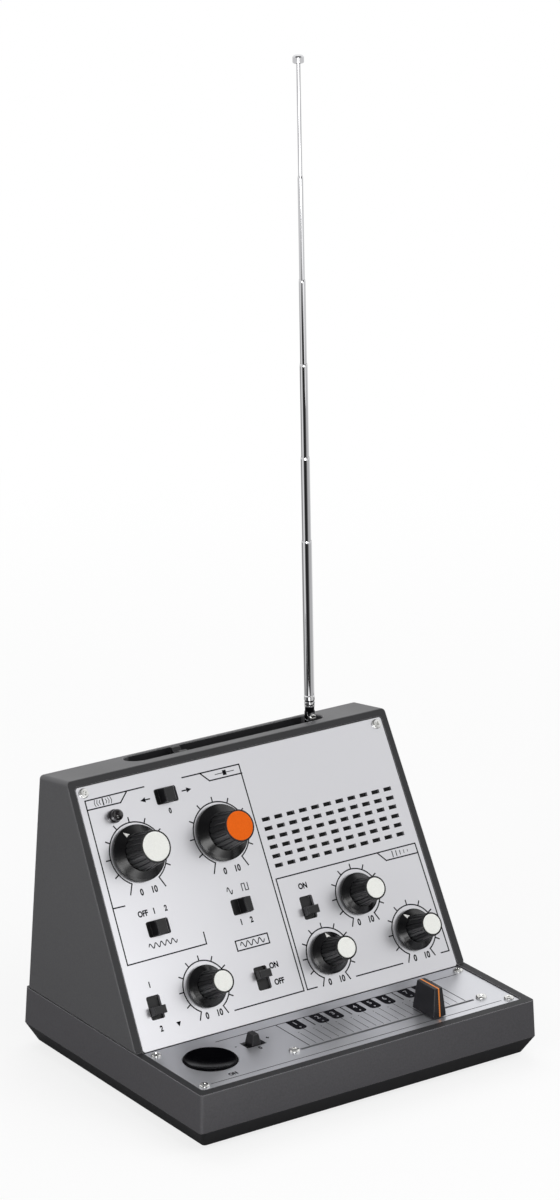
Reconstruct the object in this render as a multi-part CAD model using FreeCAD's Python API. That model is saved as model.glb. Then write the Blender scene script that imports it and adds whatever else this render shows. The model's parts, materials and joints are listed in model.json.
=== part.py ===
"""Desktop theremin with a folding telescopic aerial, a sloping control panel and a slider deck.

Millimetres, +Z up. The origin is the middle of the footprint at table level, +X is the player's
right and +Y points away from the player. Every piece is exported to parts/NODE.step.
"""
import FreeCAD, Part
import math
import os

from FreeCAD import Placement, Rotation, Vector

X_AXIS, Y_AXIS, Z_AXIS = Vector(1, 0, 0), Vector(0, 1, 0), Vector(0, 0, 1)

# ---- Driving dimensions: base tray ------------------------------------------------------------
TRAY_WIDTH, TRAY_DEPTH = 170.8, 135.7   # over the rim
RIM_Z = 26.3                            # rim above the table
UNDERSIDE_Z = 2.1                       # moulded underside above the table
TRAY_WALL_DROP = 16.5                   # rim down to the widest line
TRAY_FLARE = 0.75                       # each side, rim to widest line
TRAY_CHAMFER = 4.1                      # each side, widest line in to the underside
TRAY_WALL, TRAY_FLOOR = 3.7, 2.2
CORNER_RADIUS = 1.5
TRAY_FRONT = -TRAY_DEPTH / 2
DATUM_Y = TRAY_FRONT + 0.35             # places on the deck and the housing count from here

# ---- Driving dimensions: upper housing --------------------------------------------------------
HOUSING_WIDTH = 170.7                   # at the rim
HOUSING_FRONT = DATUM_Y + 48.8
HOUSING_BACK = DATUM_Y + 134.0
HOUSING_HEIGHT = 102.0                  # rim to the front edge of the top
PANEL_LEAN = 28.94                      # front face, degrees back from upright
TOP_DEPTH, TOP_DROP = 22.1, 3.5         # the top runs back and a little down
SIDE_DRAFT = 0.0328                     # each side, per mm of height
HOUSING_WALL, FRONT_WALL = 2.4, 4.0
SEAM_HEIGHT, SEAM_DEPTH = 0.9, 0.5      # shadow gap above the tray
SOFT_EDGE, CRISP_EDGE = 2.0, 0.5        # round the back and top, and round the front face

# ---- Driving dimensions: panels ---------------------------------------------------------------
PANEL_THICK = 1.5
PANEL_HALF_LOW, PANEL_HALF_HIGH = 81.3, 78.7
PANEL_LOW, PANEL_HIGH = -0.35, 113.2    # up the slope from the rim line
DECK_THICK, DECK_SINK = 1.2, 0.5
DECK_HALF = 81.5
DECK_FRONT, DECK_BACK = DATUM_Y + 4.2, DATUM_Y + 48.5
DECK_TOP_Z = RIM_Z - DECK_SINK
SEAT_GAP = 0.2                          # round a panel in its rebate
PANEL_CORNER, SHEET_CHAMFER = 1.3, 0.2

# ---- Driving dimensions: controls -------------------------------------------------------------
# name: (x, up the slope, skirt radius, height over the panel)
KNOBS = {
    "aerial_pitch": (-58.0, 80.5, 12.2, 16.1),
    "slide_pitch": (-16.0, 80.5, 12.2, 16.1),
    "decay": (-43.7, 19.5, 9.05, 14.9),
    "level": (19.3, 19.5, 9.05, 14.9),
    "time": (41.8, 40.8, 9.05, 14.9),
    "feedback": (64.5, 19.6, 9.05, 14.9),
}
# name: (slot centre x, up the slope, slot length, slot width, lever offset at rest, upright slot)
SWITCHES = {
    "mix": (-37.05, 101.6, 10.9, 6.8, 0.0, False),
    "modulation": (-58.15, 48.4, 10.9, 6.8, 0.0, False),
    "waveform": (-16.0, 48.45, 10.0, 6.8, 1.5, False),
    "drone": (-69.9, 16.65, 10.1, 6.6, -1.5, True),
    "vibrato": (-15.9, 16.75, 10.1, 6.6, 1.5, True),
    "delay": (15.8, 40.65, 10.1, 6.6, -1.5, True),
}
LEVER_LONG, LEVER_SHORT = 4.9, 3.5      # along the travel: three-way and two-way switches
LEVER_RISE = 3.8                        # over the panel
SLOT_CORNER = 0.9                       # inside corners of the panel's slots
OCTAVE_X, OCTAVE_Y = -38.0, DATUM_Y + 31.75
OCTAVE_SLOT, OCTAVE_SLOT_WIDE = 9.6, 6.1
FADER_X, FADER_Y = 41.3, DATUM_Y + 15.6
FADER_SLOT_START, FADER_SLOT_END, FADER_SLOT_WIDE = -25.0, 65.0, 1.4
TRIGGER_X, TRIGGER_Y, TRIGGER_RADIUS = -61.7, DATUM_Y + 28.2, 11.4
LED_X, LED_UP, LED_RADIUS = -64.4, 98.0, 2.5
LED_SHOULDER, LED_COLLAR, LED_COLLAR_HIGH = 3.3, 2.95, 1.1   # the dome's foot, and the collar round it
GRILLE_X, GRILLE_UP = 7.4, 81.6         # first slot
GRILLE_PITCH_X, GRILLE_PITCH_UP = 6.42, 4.08
GRILLE_COLUMNS, GRILLE_ROWS = 11, 6
GRILLE_SLOT, GRILLE_SLOT_HIGH = 4.0, 1.7
SPEAKER_X, SPEAKER_UP, SPEAKER_RADIUS = 39.5, 71.4, 20.0

# ---- Driving dimensions: aerial ---------------------------------------------------------------
PIVOT = Vector(50.85, DATUM_Y + 117.7, RIM_Z + 100.65)
AERIAL_LEAN = 1.41                      # to the player's left at rest
RECESS_LEFT, RECESS_RIGHT, RECESS_WIDE = -44.5, 56.3, 12.8
RECESS_FLOOR = RIM_Z + 92.3
RECESS_WALL, RECESS_LIP = 2.0, 0.4
CLIP_X = -17.5                          # the cradle for the folded rod
TUBE_OUTER, TUBE_STEP, TUBE_WALL = 4.5, 0.54, 0.2   # each tube is a step thinner
TUBE_TOPS = [80.7, 118.2, 159.5, 196.15, 240.6, 288.4]   # from the pivot, at rest
TUBE_ROOT = 12.5                        # where every tube ends when pushed home
TUBE_PROUD = 1.2                        # each end stands out of the last one when pushed home
TUBE_SHOULDER = [(0.0, -1.1), (0.03, -0.7), (0.09, -0.3), (0.16, 0.0)]   # (in, up) at each tube's end
TIP_RADIUS, TIP_LENGTH = 2.4, 3.2

# ---- Driving dimensions: underside and back ---------------------------------------------------
FOOT_X, FOOT_RADIUS = 76.0, 3.5
FOOT_Y = [DATUM_Y + 9.85, DATUM_Y + 125.15]
DECK_SCREW_X, DECK_SCREW_Y = 78.1, [DATUM_Y + 8.1, DATUM_Y + 44.1]
BASE_SCREW_X, BASE_SCREW_Y = 76.6, [DATUM_Y + 70.0, DATUM_Y + 108.0]
PANEL_SCREW_X, PANEL_SCREW_UP = 75.4, 110.3
BOSS_RADIUS, PILOT_RADIUS, CLEAR_RADIUS = 3.2, 1.3, 1.5   # boss, hole in it and hole in the plate on it
WELL_RADIUS, WELL_DEPTH = 3.0, 3.0      # sunk heads under the tray
POST_JOINT_Z = 13.0                     # where the tray's posts meet the housing's
FADER_SCREW_X = [-28.3, 69.0]
CELL_RADIUS, CELL_LENGTH, CELLS = 7.2, 50.5, 4
BAY_HALF_X, BAY_FRONT, BAY_BACK = 28.5, DATUM_Y + 62.0, DATUM_Y + 121.0
BAY_ROOF_Z, BAY_WALL = 19.8, 1.5
DOOR_THICK, DOOR_GAP = 1.8, 0.3
DOOR_PIN, DOOR_PIN_LONG, DOOR_PIN_PLAY = 0.65, 1.3, 0.07   # the stubs at both ends of its front edge
REAR_UP, REAR_HALF_X, REAR_HALF_UP = 26.0, 46.0, 10.5
REAR_THICK, REAR_SCREW_X, REAR_BOARD_UP = 1.6, 42.5, 22.0
SOCKET_RADIUS, SOCKET_DEPTH, SOCKET_COLLAR = 1.8, 14.0, 1.0
SOCKETS_X = [-30.0, -14.0]
POWER_X, VOLUME_X, VOLUME_RADIUS, VOLUME_SINK = 6.0, 26.0, 8.0, 5.8


# ---- Small helpers ----------------------------------------------------------------------------
def box(x0, x1, y0, y1, z0, z1):
    return Part.makeBox(x1 - x0, y1 - y0, z1 - z0, Vector(x0, y0, z0))


def post(radius, x, y, z0, z1):
    return Part.makeCylinder(radius, z1 - z0, Vector(x, y, z0))


def turned(profile, x=0.0, y=0.0):
    """A solid of revolution about Z from (radius, height) points."""
    points = [Vector(r, 0, z) for r, z in profile]
    solid = Part.Face(Part.makePolygon(points + points[:1])).revolve(Vector(), Z_AXIS, 360)
    solid.translate(Vector(x, y, 0))
    return solid


def joined(first, *others):
    return first.fuse(list(others)).removeSplitter()


def group(shapes):
    return Part.makeCompound(shapes)


def moved(shape, placement):
    result = shape.copy()
    result.Placement = placement.multiply(result.Placement)
    return result


def rounded_rectangle(x0, x1, y0, y1, z, radius):
    """A closed wire at height z."""
    edges = []
    corners = [(x1 - radius, y1 - radius, 0), (x0 + radius, y1 - radius, 90),
               (x0 + radius, y0 + radius, 180), (x1 - radius, y0 + radius, 270)]
    arcs = []
    for x, y, start in corners:
        circle = Part.Circle(Vector(x, y, z), Z_AXIS, radius)
        arcs.append(Part.ArcOfCircle(circle, math.radians(start), math.radians(start + 90)).toShape())
    for arc, following in zip(arcs, arcs[1:] + arcs[:1]):
        edges += [arc, Part.makeLine(arc.Vertexes[-1].Point, following.Vertexes[0].Point)]
    return Part.Wire(edges)


def plate(x0, x1, y0, y1, z0, z1, radius):
    wire = rounded_rectangle(x0, x1, y0, y1, z0, radius)
    return Part.Face(wire).extrude(Vector(0, 0, z1 - z0))


def prism(points, z0, z1):
    wire = Part.makePolygon([Vector(x, y, z0) for x, y in points + points[:1]])
    return Part.Face(wire).extrude(Vector(0, 0, z1 - z0))


def edges_where(shape, test):
    return [edge for edge in shape.Edges if test(edge)]


def top_rim(shape, z):
    return edges_where(shape, lambda edge: edge.BoundBox.ZMin > z - 0.01)


def sloping_frame(y, lean, turn=0.0):
    """Local x across, y up the slope from the rim, z out of the face."""
    spin = Rotation(Z_AXIS, turn).multiply(Rotation(X_AXIS, 90 - lean))
    return Placement(Vector(0, y, RIM_Z), spin)


def panel_piece(shape):
    return moved(shape, sloping_frame(HOUSING_FRONT, PANEL_LEAN))


def deck_piece(shape):
    """Local z is measured from the deck's top face."""
    return moved(shape, Placement(Vector(0, 0, DECK_TOP_Z), Rotation()))


def rear_lean():
    top_back = HOUSING_FRONT + HOUSING_HEIGHT * math.tan(math.radians(PANEL_LEAN)) + TOP_DEPTH
    return math.degrees(math.atan((HOUSING_BACK - top_back) / (HOUSING_HEIGHT - TOP_DROP)))


def rear_piece(shape):
    return moved(shape, sloping_frame(HOUSING_BACK, rear_lean(), 180))


# ---- Base tray and what hangs on it -----------------------------------------------------------
def tray_section(z, grow, radius):
    half = TRAY_WIDTH / 2 + grow
    return rounded_rectangle(-half, half, TRAY_FRONT - grow, -TRAY_FRONT + grow, z, radius)


def tray_outside():
    widest_z = RIM_Z - TRAY_WALL_DROP
    low = TRAY_FLARE - TRAY_CHAMFER
    sections = [tray_section(RIM_Z, 0, CORNER_RADIUS),
                tray_section(widest_z, TRAY_FLARE, CORNER_RADIUS),
                tray_section(UNDERSIDE_Z, low, CORNER_RADIUS)]
    return Part.makeLoft(sections, True, True)


def tray_inside():
    half = TRAY_WIDTH / 2 - TRAY_WALL
    front, back = DATUM_Y + 4.0, -TRAY_FRONT - TRAY_WALL
    knee_z, floor_z, tuck = UNDERSIDE_Z + 8.0, UNDERSIDE_Z + TRAY_FLOOR, 3.1
    sections = [rounded_rectangle(-half, half, front, back, RIM_Z + 1, 1.5),
                rounded_rectangle(-half, half, front, back, knee_z, 1.5),
                rounded_rectangle(-half + tuck, half - tuck, front + tuck, back - tuck, floor_z, 1.5)]
    return Part.makeLoft(sections, True, True)


def base_tray():
    deck_under = DECK_TOP_Z - DECK_THICK
    tray = tray_outside().cut(tray_inside())
    added, removed = [], []
    for side in (-1, 1):
        for y in DECK_SCREW_Y:
            added.append(post(4.4, side * DECK_SCREW_X, y, UNDERSIDE_Z + 1, deck_under))
            removed.append(post(PILOT_RADIUS, side * DECK_SCREW_X, y, deck_under - 10, deck_under))
        for y in BASE_SCREW_Y:
            x = side * BASE_SCREW_X
            added.append(post(WELL_RADIUS + 1.0, x, y, UNDERSIDE_Z, POST_JOINT_Z))
            removed.append(post(WELL_RADIUS, x, y, UNDERSIDE_Z, UNDERSIDE_Z + WELL_DEPTH))
            removed.append(post(CLEAR_RADIUS + 0.1, x, y, UNDERSIDE_Z, POST_JOINT_Z))
    added.append(box(-BAY_HALF_X - BAY_WALL, BAY_HALF_X + BAY_WALL, BAY_FRONT - BAY_WALL,
                     BAY_BACK + BAY_WALL, UNDERSIDE_Z, BAY_ROOF_Z + BAY_WALL))
    removed.append(box(-BAY_HALF_X, BAY_HALF_X, BAY_FRONT, BAY_BACK, UNDERSIDE_Z - 1, BAY_ROOF_Z))
    removed.append(door_axle(BAY_HALF_X - DOOR_GAP + DOOR_PIN_LONG + 0.2, DOOR_PIN + DOOR_PIN_PLAY))
    return tray.fuse(added).cut(group(removed)).removeSplitter()


def door_axle(half_long, radius):
    """A round bar on the hinge line of the battery door."""
    start = Vector(-half_long, BAY_FRONT + DOOR_GAP + DOOR_THICK / 2, UNDERSIDE_Z + DOOR_THICK / 2)
    return Part.makeCylinder(radius, 2 * half_long, start, X_AXIS)


def rubber_feet():
    feet = []
    for x in (-FOOT_X, FOOT_X):
        for y in FOOT_Y:
            feet.append(turned([(0, UNDERSIDE_Z), (0, 0), (FOOT_RADIUS - 0.6, 0),
                                (FOOT_RADIUS, 0.6), (FOOT_RADIUS, UNDERSIDE_Z)], x, y))
    return group(feet)


def battery_door():
    """A flat lid that turns on stubs in its round front edge, with finger grooves at the back."""
    lid_top = UNDERSIDE_Z + DOOR_THICK
    half = BAY_HALF_X - DOOR_GAP
    lid = box(-half, half, BAY_FRONT + DOOR_GAP + DOOR_THICK / 2, BAY_BACK - DOOR_GAP, UNDERSIDE_Z, lid_top)
    edge = door_axle(half, DOOR_THICK / 2)
    stubs = door_axle(half + DOOR_PIN_LONG, DOOR_PIN)
    grooves = [box(-8, 8, BAY_BACK - 6 - 2 * i, BAY_BACK - 5 - 2 * i, UNDERSIDE_Z - 1, UNDERSIDE_Z + 0.5)
               for i in range(4)]
    ribs = [box(x - 0.6, x + 0.6, BAY_FRONT + 8, BAY_BACK - 8, lid_top, lid_top + 0.5) for x in (-16, 16)]
    return joined(lid, edge, stubs, *ribs).cut(group(grooves))


def cell_rows():
    pitch = (BAY_BACK - BAY_FRONT) / CELLS
    return [(BAY_FRONT + pitch * (i + 0.5), 1 if i % 2 else -1) for i in range(CELLS)]


def cell_height():
    return BAY_ROOF_Z - CELL_RADIUS - 0.3


def battery_cells():
    cells = []
    for y, way in cell_rows():
        can = turned([(0, -CELL_LENGTH / 2), (CELL_RADIUS, -CELL_LENGTH / 2),
                      (CELL_RADIUS, CELL_LENGTH / 2 - 1.6), (2.7, CELL_LENGTH / 2 - 1.6),
                      (2.7, CELL_LENGTH / 2), (0, CELL_LENGTH / 2)])
        cells.append(moved(can, Placement(Vector(0, y, cell_height()), Rotation(Y_AXIS, 90 * way))))
    return group(cells)


def battery_contacts():
    """A sprung cone at each can's flat end and a flat strip at its button."""
    strips, z = [], cell_height()
    end = BAY_HALF_X - 0.1
    for y, way in cell_rows():
        strips.append(box(*sorted([way * end, way * (end - 0.4)]), y - 5, y + 5, z - 5, z + 5))
        spring = Part.makeCone(5.0, 2.6, end - 0.4 - CELL_LENGTH / 2)
        base = box(-5, 5, -5, 5, -0.4, 0)
        strips.append(moved(joined(base, spring),
                            Placement(Vector(-way * (end - 0.4), y, z), Rotation(Y_AXIS, 90 * way))))
    return group(strips)


# ---- Upper housing ----------------------------------------------------------------------------
def meeting_point(line_a, line_b):
    """Where two lines cross; each is ((y, z), (dy, dz))."""
    (ay, az), (ady, adz) = line_a
    (by, bz), (bdy, bdz) = line_b
    along = ((by - ay) * bdz - (bz - az) * bdy) / (ady * bdz - adz * bdy)
    return ay + ady * along, az + adz * along


def shifted(line, distance):
    """The line moved square to itself, to its right."""
    (y, z), (dy, dz) = line
    length = math.hypot(dy, dz)
    return (y + dz / length * distance, z - dy / length * distance), (dy, dz)


def housing_form(inset=0.0, front_inset=0.0, foot_z=RIM_Z):
    """The tapered wedge, with every face set in by a wall's thickness."""
    lean = math.tan(math.radians(PANEL_LEAN))
    top_front = (HOUSING_FRONT + HOUSING_HEIGHT * lean, RIM_Z + HOUSING_HEIGHT)
    top_back = (top_front[0] + TOP_DEPTH, top_front[1] - TOP_DROP)
    front = shifted(((HOUSING_FRONT, RIM_Z), (lean, 1)), front_inset)
    top = shifted((top_front, (TOP_DEPTH, -TOP_DROP)), inset)
    back = shifted((top_back, (HOUSING_BACK - top_back[0], RIM_Z - top_back[1])), inset)
    foot = ((0, foot_z), (1, 0))
    outline = [meeting_point(foot, front), meeting_point(front, top),
               meeting_point(top, back), meeting_point(back, foot)]
    sides = []
    for side in (-1, 1):
        sides.append([Vector(side * (HOUSING_WIDTH / 2 - inset - SIDE_DRAFT * (z - RIM_Z)), y, z)
                      for y, z in outline])
    left, right = sides
    faces = [left, right]
    for i in range(4):
        k = (i + 1) % 4
        faces.append([left[i], left[k], right[k], right[i]])
    shell = Part.Shell([Part.Face(Part.makePolygon(f + f[:1])) for f in faces])
    solid = Part.Solid(shell)
    if solid.Volume < 0:
        solid.reverse()
    return solid


def rounded_housing():
    """Soft edges round the back and top, a crisp one round the front face."""
    solid = housing_form()

    def on_back(edge):
        return all(v.Y > HOUSING_BACK - 8 for v in edge.Vertexes)

    def top_side(edge):
        return all(v.Z > RIM_Z + 90 for v in edge.Vertexes) and edge.BoundBox.XLength < 1

    soft = edges_where(solid, lambda e: (on_back(e) and e.BoundBox.ZMax > RIM_Z + 1) or top_side(e))
    solid = solid.makeFillet(SOFT_EDGE, soft)
    front = sloping_frame(HOUSING_FRONT, PANEL_LEAN).inverse()

    def on_front(edge):
        if edge.Degenerated:
            return False
        points = [front.multVec(v.Point) for v in edge.Vertexes] + [front.multVec(edge.CenterOfMass)]
        return all(abs(p.z) < 0.01 for p in points) and max(p.y for p in points) > 1

    return solid.makeFillet(CRISP_EDGE, edges_where(solid, on_front))


def panel_outline(grow):
    """The panel's trapezoid as local (x, up) points."""
    taper = (PANEL_HALF_LOW - PANEL_HALF_HIGH) / (PANEL_HIGH - PANEL_LOW)
    low, high = PANEL_LOW - grow, PANEL_HIGH + grow
    half_low = PANEL_HALF_LOW + grow + taper * grow
    half_high = half_low - taper * (high - low)
    return [(-half_low, low), (half_low, low), (half_high, high), (-half_high, high)]


def panel_block(grow, z0, z1, corner):
    """The panel's trapezoid with rounded corners."""
    block = prism(panel_outline(grow), z0, z1)
    upright = edges_where(block, lambda e: e.BoundBox.ZLength > 0.9 * (z1 - z0))
    return block.makeFillet(corner, upright)


def recess(grow, z0, z1):
    """The long round-ended trough that the folded aerial lies in."""
    radius = RECESS_WIDE / 2 + grow
    wire = rounded_rectangle(RECESS_LEFT - grow, RECESS_RIGHT + grow, PIVOT.y - radius, PIVOT.y + radius,
                             z0, radius - 0.01)
    return Part.Face(wire).extrude(Vector(0, 0, z1 - z0))


def rear_window(grow, z0, z1):
    return plate(-REAR_HALF_X - grow, REAR_HALF_X + grow, REAR_UP - REAR_HALF_UP - grow,
                 REAR_UP + REAR_HALF_UP + grow, z0, z1, 1.5)


def upper_housing():
    outside = rounded_housing()
    hollow = housing_form(HOUSING_WALL, FRONT_WALL, RIM_Z - 1)
    shell = outside.cut(hollow)
    trough = recess(RECESS_WALL, RECESS_FLOOR - RECESS_WALL, RIM_Z + 104).common(housing_form(0.5, 0.5))
    added = [trough]
    wall_face = HOUSING_WIDTH / 2 - HOUSING_WALL
    for side in (-1, 1):
        boss = post(BOSS_RADIUS, side * PANEL_SCREW_X, PANEL_SCREW_UP, -9, -PANEL_THICK - 0.5)
        added.append(panel_piece(boss))
        boss = post(BOSS_RADIUS, side * REAR_SCREW_X, REAR_UP, -8.5, -REAR_THICK - 0.5)
        added.append(rear_piece(boss))
        for y in BASE_SCREW_Y:
            x = side * BASE_SCREW_X
            added.append(post(BOSS_RADIUS + 0.4, x, y, POST_JOINT_Z, RIM_Z + 12))
            added.append(box(*sorted([x, side * (wall_face + 0.2)]), y - 1, y + 1, RIM_Z + 1, RIM_Z + 10))
    removed = [recess(0, RECESS_FLOOR, RIM_Z + 110),
               panel_piece(panel_block(SEAT_GAP, -PANEL_THICK, 2, PANEL_CORNER + SEAT_GAP)),
               panel_piece(prism(panel_outline(-4.6), -FRONT_WALL - 2, 1)),
               rear_piece(rear_window(SEAT_GAP, -REAR_THICK, 2)),
               rear_piece(plate(-REAR_SCREW_X + 4, REAR_SCREW_X - 4, REAR_UP - REAR_HALF_UP + 2,
                                REAR_UP + REAR_HALF_UP - 2, -6, 1, 1.5)),
               seam_groove()]
    for side in (-1, 1):
        removed.append(rear_piece(post(PILOT_RADIUS, side * REAR_SCREW_X, REAR_UP, -7.5, 0)))
        removed.append(panel_piece(post(PILOT_RADIUS, side * PANEL_SCREW_X, PANEL_SCREW_UP, -8, 0)))
        for y in BASE_SCREW_Y:
            removed.append(post(PILOT_RADIUS, side * BASE_SCREW_X, y, POST_JOINT_Z - 1, RIM_Z - 3))
    housing = shell.fuse(added).cut(group(removed)).removeSplitter()
    return housing.makeChamfer(RECESS_LIP, recess_mouth(housing))


def recess_mouth(housing):
    """The edges where the trough meets the top."""
    reach = RECESS_WIDE / 2 + 0.01

    def on_mouth(edge):
        bounds = edge.BoundBox
        return (bounds.ZMin > RIM_Z + 97 and bounds.YMin > PIVOT.y - reach and bounds.YMax < PIVOT.y + reach
                and bounds.XMin > RECESS_LEFT - 0.01 and bounds.XMax < RECESS_RIGHT + 0.01)

    return edges_where(housing, on_mouth)


def seam_groove():
    """A shallow rebate round the housing's foot, at the sides and back."""
    half, front, back = HOUSING_WIDTH / 2, HOUSING_FRONT - 2, HOUSING_BACK
    ring = box(-half - 2, half + 2, front, back + 2, RIM_Z - 1, RIM_Z + SEAM_HEIGHT)
    core = plate(-half + SEAM_DEPTH, half - SEAM_DEPTH, front - 10, back - SEAM_DEPTH,
                 RIM_Z - 2, RIM_Z + SEAM_HEIGHT + 1, CORNER_RADIUS - SEAM_DEPTH)
    return ring.cut(core)


# ---- Metal panels -----------------------------------------------------------------------------
def slot_outline(name):
    x, up, length, width, _, upright = SWITCHES[name]
    half_x, half_up = (width / 2, length / 2) if upright else (length / 2, width / 2)
    return x - half_x, x + half_x, up - half_up, up + half_up


def front_panel():
    sheet = panel_block(0, -PANEL_THICK, 0, PANEL_CORNER)
    sheet = sheet.makeChamfer(SHEET_CHAMFER, top_rim(sheet, 0))
    cuts = []
    for x, up, _, _ in KNOBS.values():
        cuts.append(post(3.7, x, up, -PANEL_THICK - 1, 1))
    for name in SWITCHES:
        cuts.append(plate(*slot_outline(name), -PANEL_THICK - 1, 1, SLOT_CORNER))
    cuts.append(post(LED_RADIUS + 0.1, LED_X, LED_UP, -PANEL_THICK - 1, 1))
    for side in (-1, 1):
        cuts.append(post(CLEAR_RADIUS, side * PANEL_SCREW_X, PANEL_SCREW_UP, -PANEL_THICK - 1, 1))
    for column in range(GRILLE_COLUMNS):
        for row in range(GRILLE_ROWS):
            x = GRILLE_X + column * GRILLE_PITCH_X
            up = GRILLE_UP - row * GRILLE_PITCH_UP
            cuts.append(box(x - GRILLE_SLOT / 2, x + GRILLE_SLOT / 2, up - GRILLE_SLOT_HIGH / 2,
                            up + GRILLE_SLOT_HIGH / 2, -PANEL_THICK - 1, 1))
    return panel_piece(sheet.cut(group(cuts)))


def deck_panel():
    sheet = plate(-DECK_HALF, DECK_HALF, DECK_FRONT, DECK_BACK, -DECK_THICK, 0, 1.2)
    sheet = sheet.makeChamfer(SHEET_CHAMFER, top_rim(sheet, 0))
    low, high = -DECK_THICK - 1, 1
    cuts = [post(TRIGGER_RADIUS + 0.35, TRIGGER_X, TRIGGER_Y, low, high),
            box(OCTAVE_X - OCTAVE_SLOT / 2, OCTAVE_X + OCTAVE_SLOT / 2, OCTAVE_Y - OCTAVE_SLOT_WIDE / 2,
                OCTAVE_Y + OCTAVE_SLOT_WIDE / 2, low, high),
            box(FADER_SLOT_START, FADER_SLOT_END, FADER_Y - FADER_SLOT_WIDE / 2,
                FADER_Y + FADER_SLOT_WIDE / 2, low, high)]
    cuts += [post(CLEAR_RADIUS, side * DECK_SCREW_X, y, low, high)
             for side in (-1, 1) for y in DECK_SCREW_Y]
    cuts += [post(1.6, x, FADER_Y, low, high) for x in FADER_SCREW_X]
    return deck_piece(sheet.cut(group(cuts)))


def rear_plate():
    sheet = rear_window(0, -REAR_THICK, 0)
    cuts = [post(3.5, x, REAR_UP, -3, 1) for x in SOCKETS_X]
    cuts += [post(CLEAR_RADIUS, side * REAR_SCREW_X, REAR_UP, -3, 1) for side in (-1, 1)]
    cuts.append(box(POWER_X - 4.5, POWER_X + 4.5, REAR_UP - 2.0, REAR_UP + 2.0, -3, 1))
    cuts.append(box(VOLUME_X - 7.6, VOLUME_X + 7.6, REAR_UP - 1.9, REAR_UP + 1.9, -3, 1))
    return rear_piece(sheet.cut(group(cuts)))


def rear_board():
    """A narrow board square to the rear plate, which carries everything that faces backwards."""
    return rear_piece(box(-37, 37, REAR_BOARD_UP - BOARD_THICK, REAR_BOARD_UP, -19, -REAR_THICK))


# ---- Screws -----------------------------------------------------------------------------------
def screw(head_radius, head_high, shank_radius, shank_long):
    """A pan head on z = 0 with its shank below."""
    rim = head_high * 0.45
    return turned([(0, -shank_long), (shank_radius, -shank_long), (shank_radius, 0), (head_radius, 0),
                   (head_radius, rim), (head_radius * 0.72, head_high), (0, head_high)])


def placed(shape, x, y, z=0.0):
    return moved(shape, Placement(Vector(x, y, z), Rotation()))


def cover_screws():
    """The small pan heads that hold the front, deck and rear plates."""
    one = screw(2.2, 1.0, 1.25, 6.5)
    screws = []
    for side in (-1, 1):
        screws.append(panel_piece(placed(one, side * PANEL_SCREW_X, PANEL_SCREW_UP)))
        screws.append(rear_piece(placed(one, side * REAR_SCREW_X, REAR_UP)))
        screws += [deck_piece(placed(one, side * DECK_SCREW_X, y)) for y in DECK_SCREW_Y]
    return group(screws)


def fader_screws():
    return deck_piece(group([placed(screw(2.4, 1.1, 1.45, 4), x, FADER_Y) for x in FADER_SCREW_X]))


def base_screws():
    down = Rotation(X_AXIS, 180)
    screws = []
    for side in (-1, 1):
        for y in BASE_SCREW_Y:
            seat = Vector(side * BASE_SCREW_X, y, UNDERSIDE_Z + WELL_DEPTH)
            screws.append(moved(screw(2.8, 1.4, 1.25, 15), Placement(seat, down)))
    return group(screws)


# ---- Knobs and potentiometers -----------------------------------------------------------------
RIBS, RIB_DEPTH = 20, 0.4


def ribbed_outline(radius, z):
    """A closed wire of flat ribs and grooves."""
    points = []
    step = 2 * math.pi / RIBS
    for i in range(RIBS):
        for share, depth in ((0.0, 0.0), (0.5, 0.0), (0.64, RIB_DEPTH), (0.86, RIB_DEPTH)):
            angle = (i + share) * step
            reach = radius - depth
            points.append(Vector(reach * math.cos(angle), reach * math.sin(angle), z))
    return Part.makePolygon(points + points[:1])


def knob_cap_radius(skirt):
    return 6.3 if skirt > 10 else 4.4


def knob(name):
    """A bevelled skirt under a tapered ribbed grip, with a pressed-in shaft."""
    x, up, skirt, height = KNOBS[name]
    cap = knob_cap_radius(skirt)
    grip_top, grip_foot = cap + 0.7, cap + (1.9 if skirt > 10 else 1.65)
    shoulder = 4.4 if skirt > 10 else 3.9
    base = turned([(0, 0.6), (skirt - 0.3, 0.6), (skirt, 0.9), (skirt, 1.7), (skirt - 0.9, 2.3),
                   (grip_foot + 0.3, shoulder), (0, shoulder)])
    grip = Part.makeLoft([ribbed_outline(grip_foot, shoulder - 0.3), ribbed_outline(grip_top, height)],
                         True, True)
    hollow = post(skirt - 2.2, 0, 0, 0, 1.5).cut(post(4.0, 0, 0, -1, 2))
    seat = post(cap + 0.02, 0, 0, height - 0.6, height + 1)
    shaft = post(3.0, 0, 0, -4.6, 1.5)
    body = base.fuse([grip, shaft]).cut(group([hollow, seat])).removeSplitter()
    return panel_piece(placed(body, x, up))


def knob_cap(name):
    """The coloured disc let into the top of a knob."""
    x, up, skirt, height = KNOBS[name]
    cap = knob_cap_radius(skirt)
    disc = turned([(0, height - 0.6), (cap, height - 0.6), (cap, height + 0.05),
                   (cap - 0.15, height + 0.2), (0, height + 0.2)])
    return panel_piece(placed(disc, x, up))


BOARD_TOP, BOARD_THICK = -11.9, 1.6     # main board, under the panel's face


def potentiometers():
    bodies = []
    for x, up, _, _ in KNOBS.values():
        case = box(x - 4.8, x + 4.8, up - 6.2, up + 5.2, BOARD_TOP, -5.0)
        bushing = post(3.4, x, up, -5.0, -0.4)
        well = post(3.08, x, up, -4.9, 1)
        bodies.append(panel_piece(joined(case, bushing).cut(well)))
    wheel_case = box(VOLUME_X - 5, VOLUME_X + 5, REAR_BOARD_UP, REAR_UP - 1.7, -11, -2.4)
    bodies.append(rear_piece(wheel_case.cut(volume_axle(0.06))))
    return group(bodies)


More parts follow.
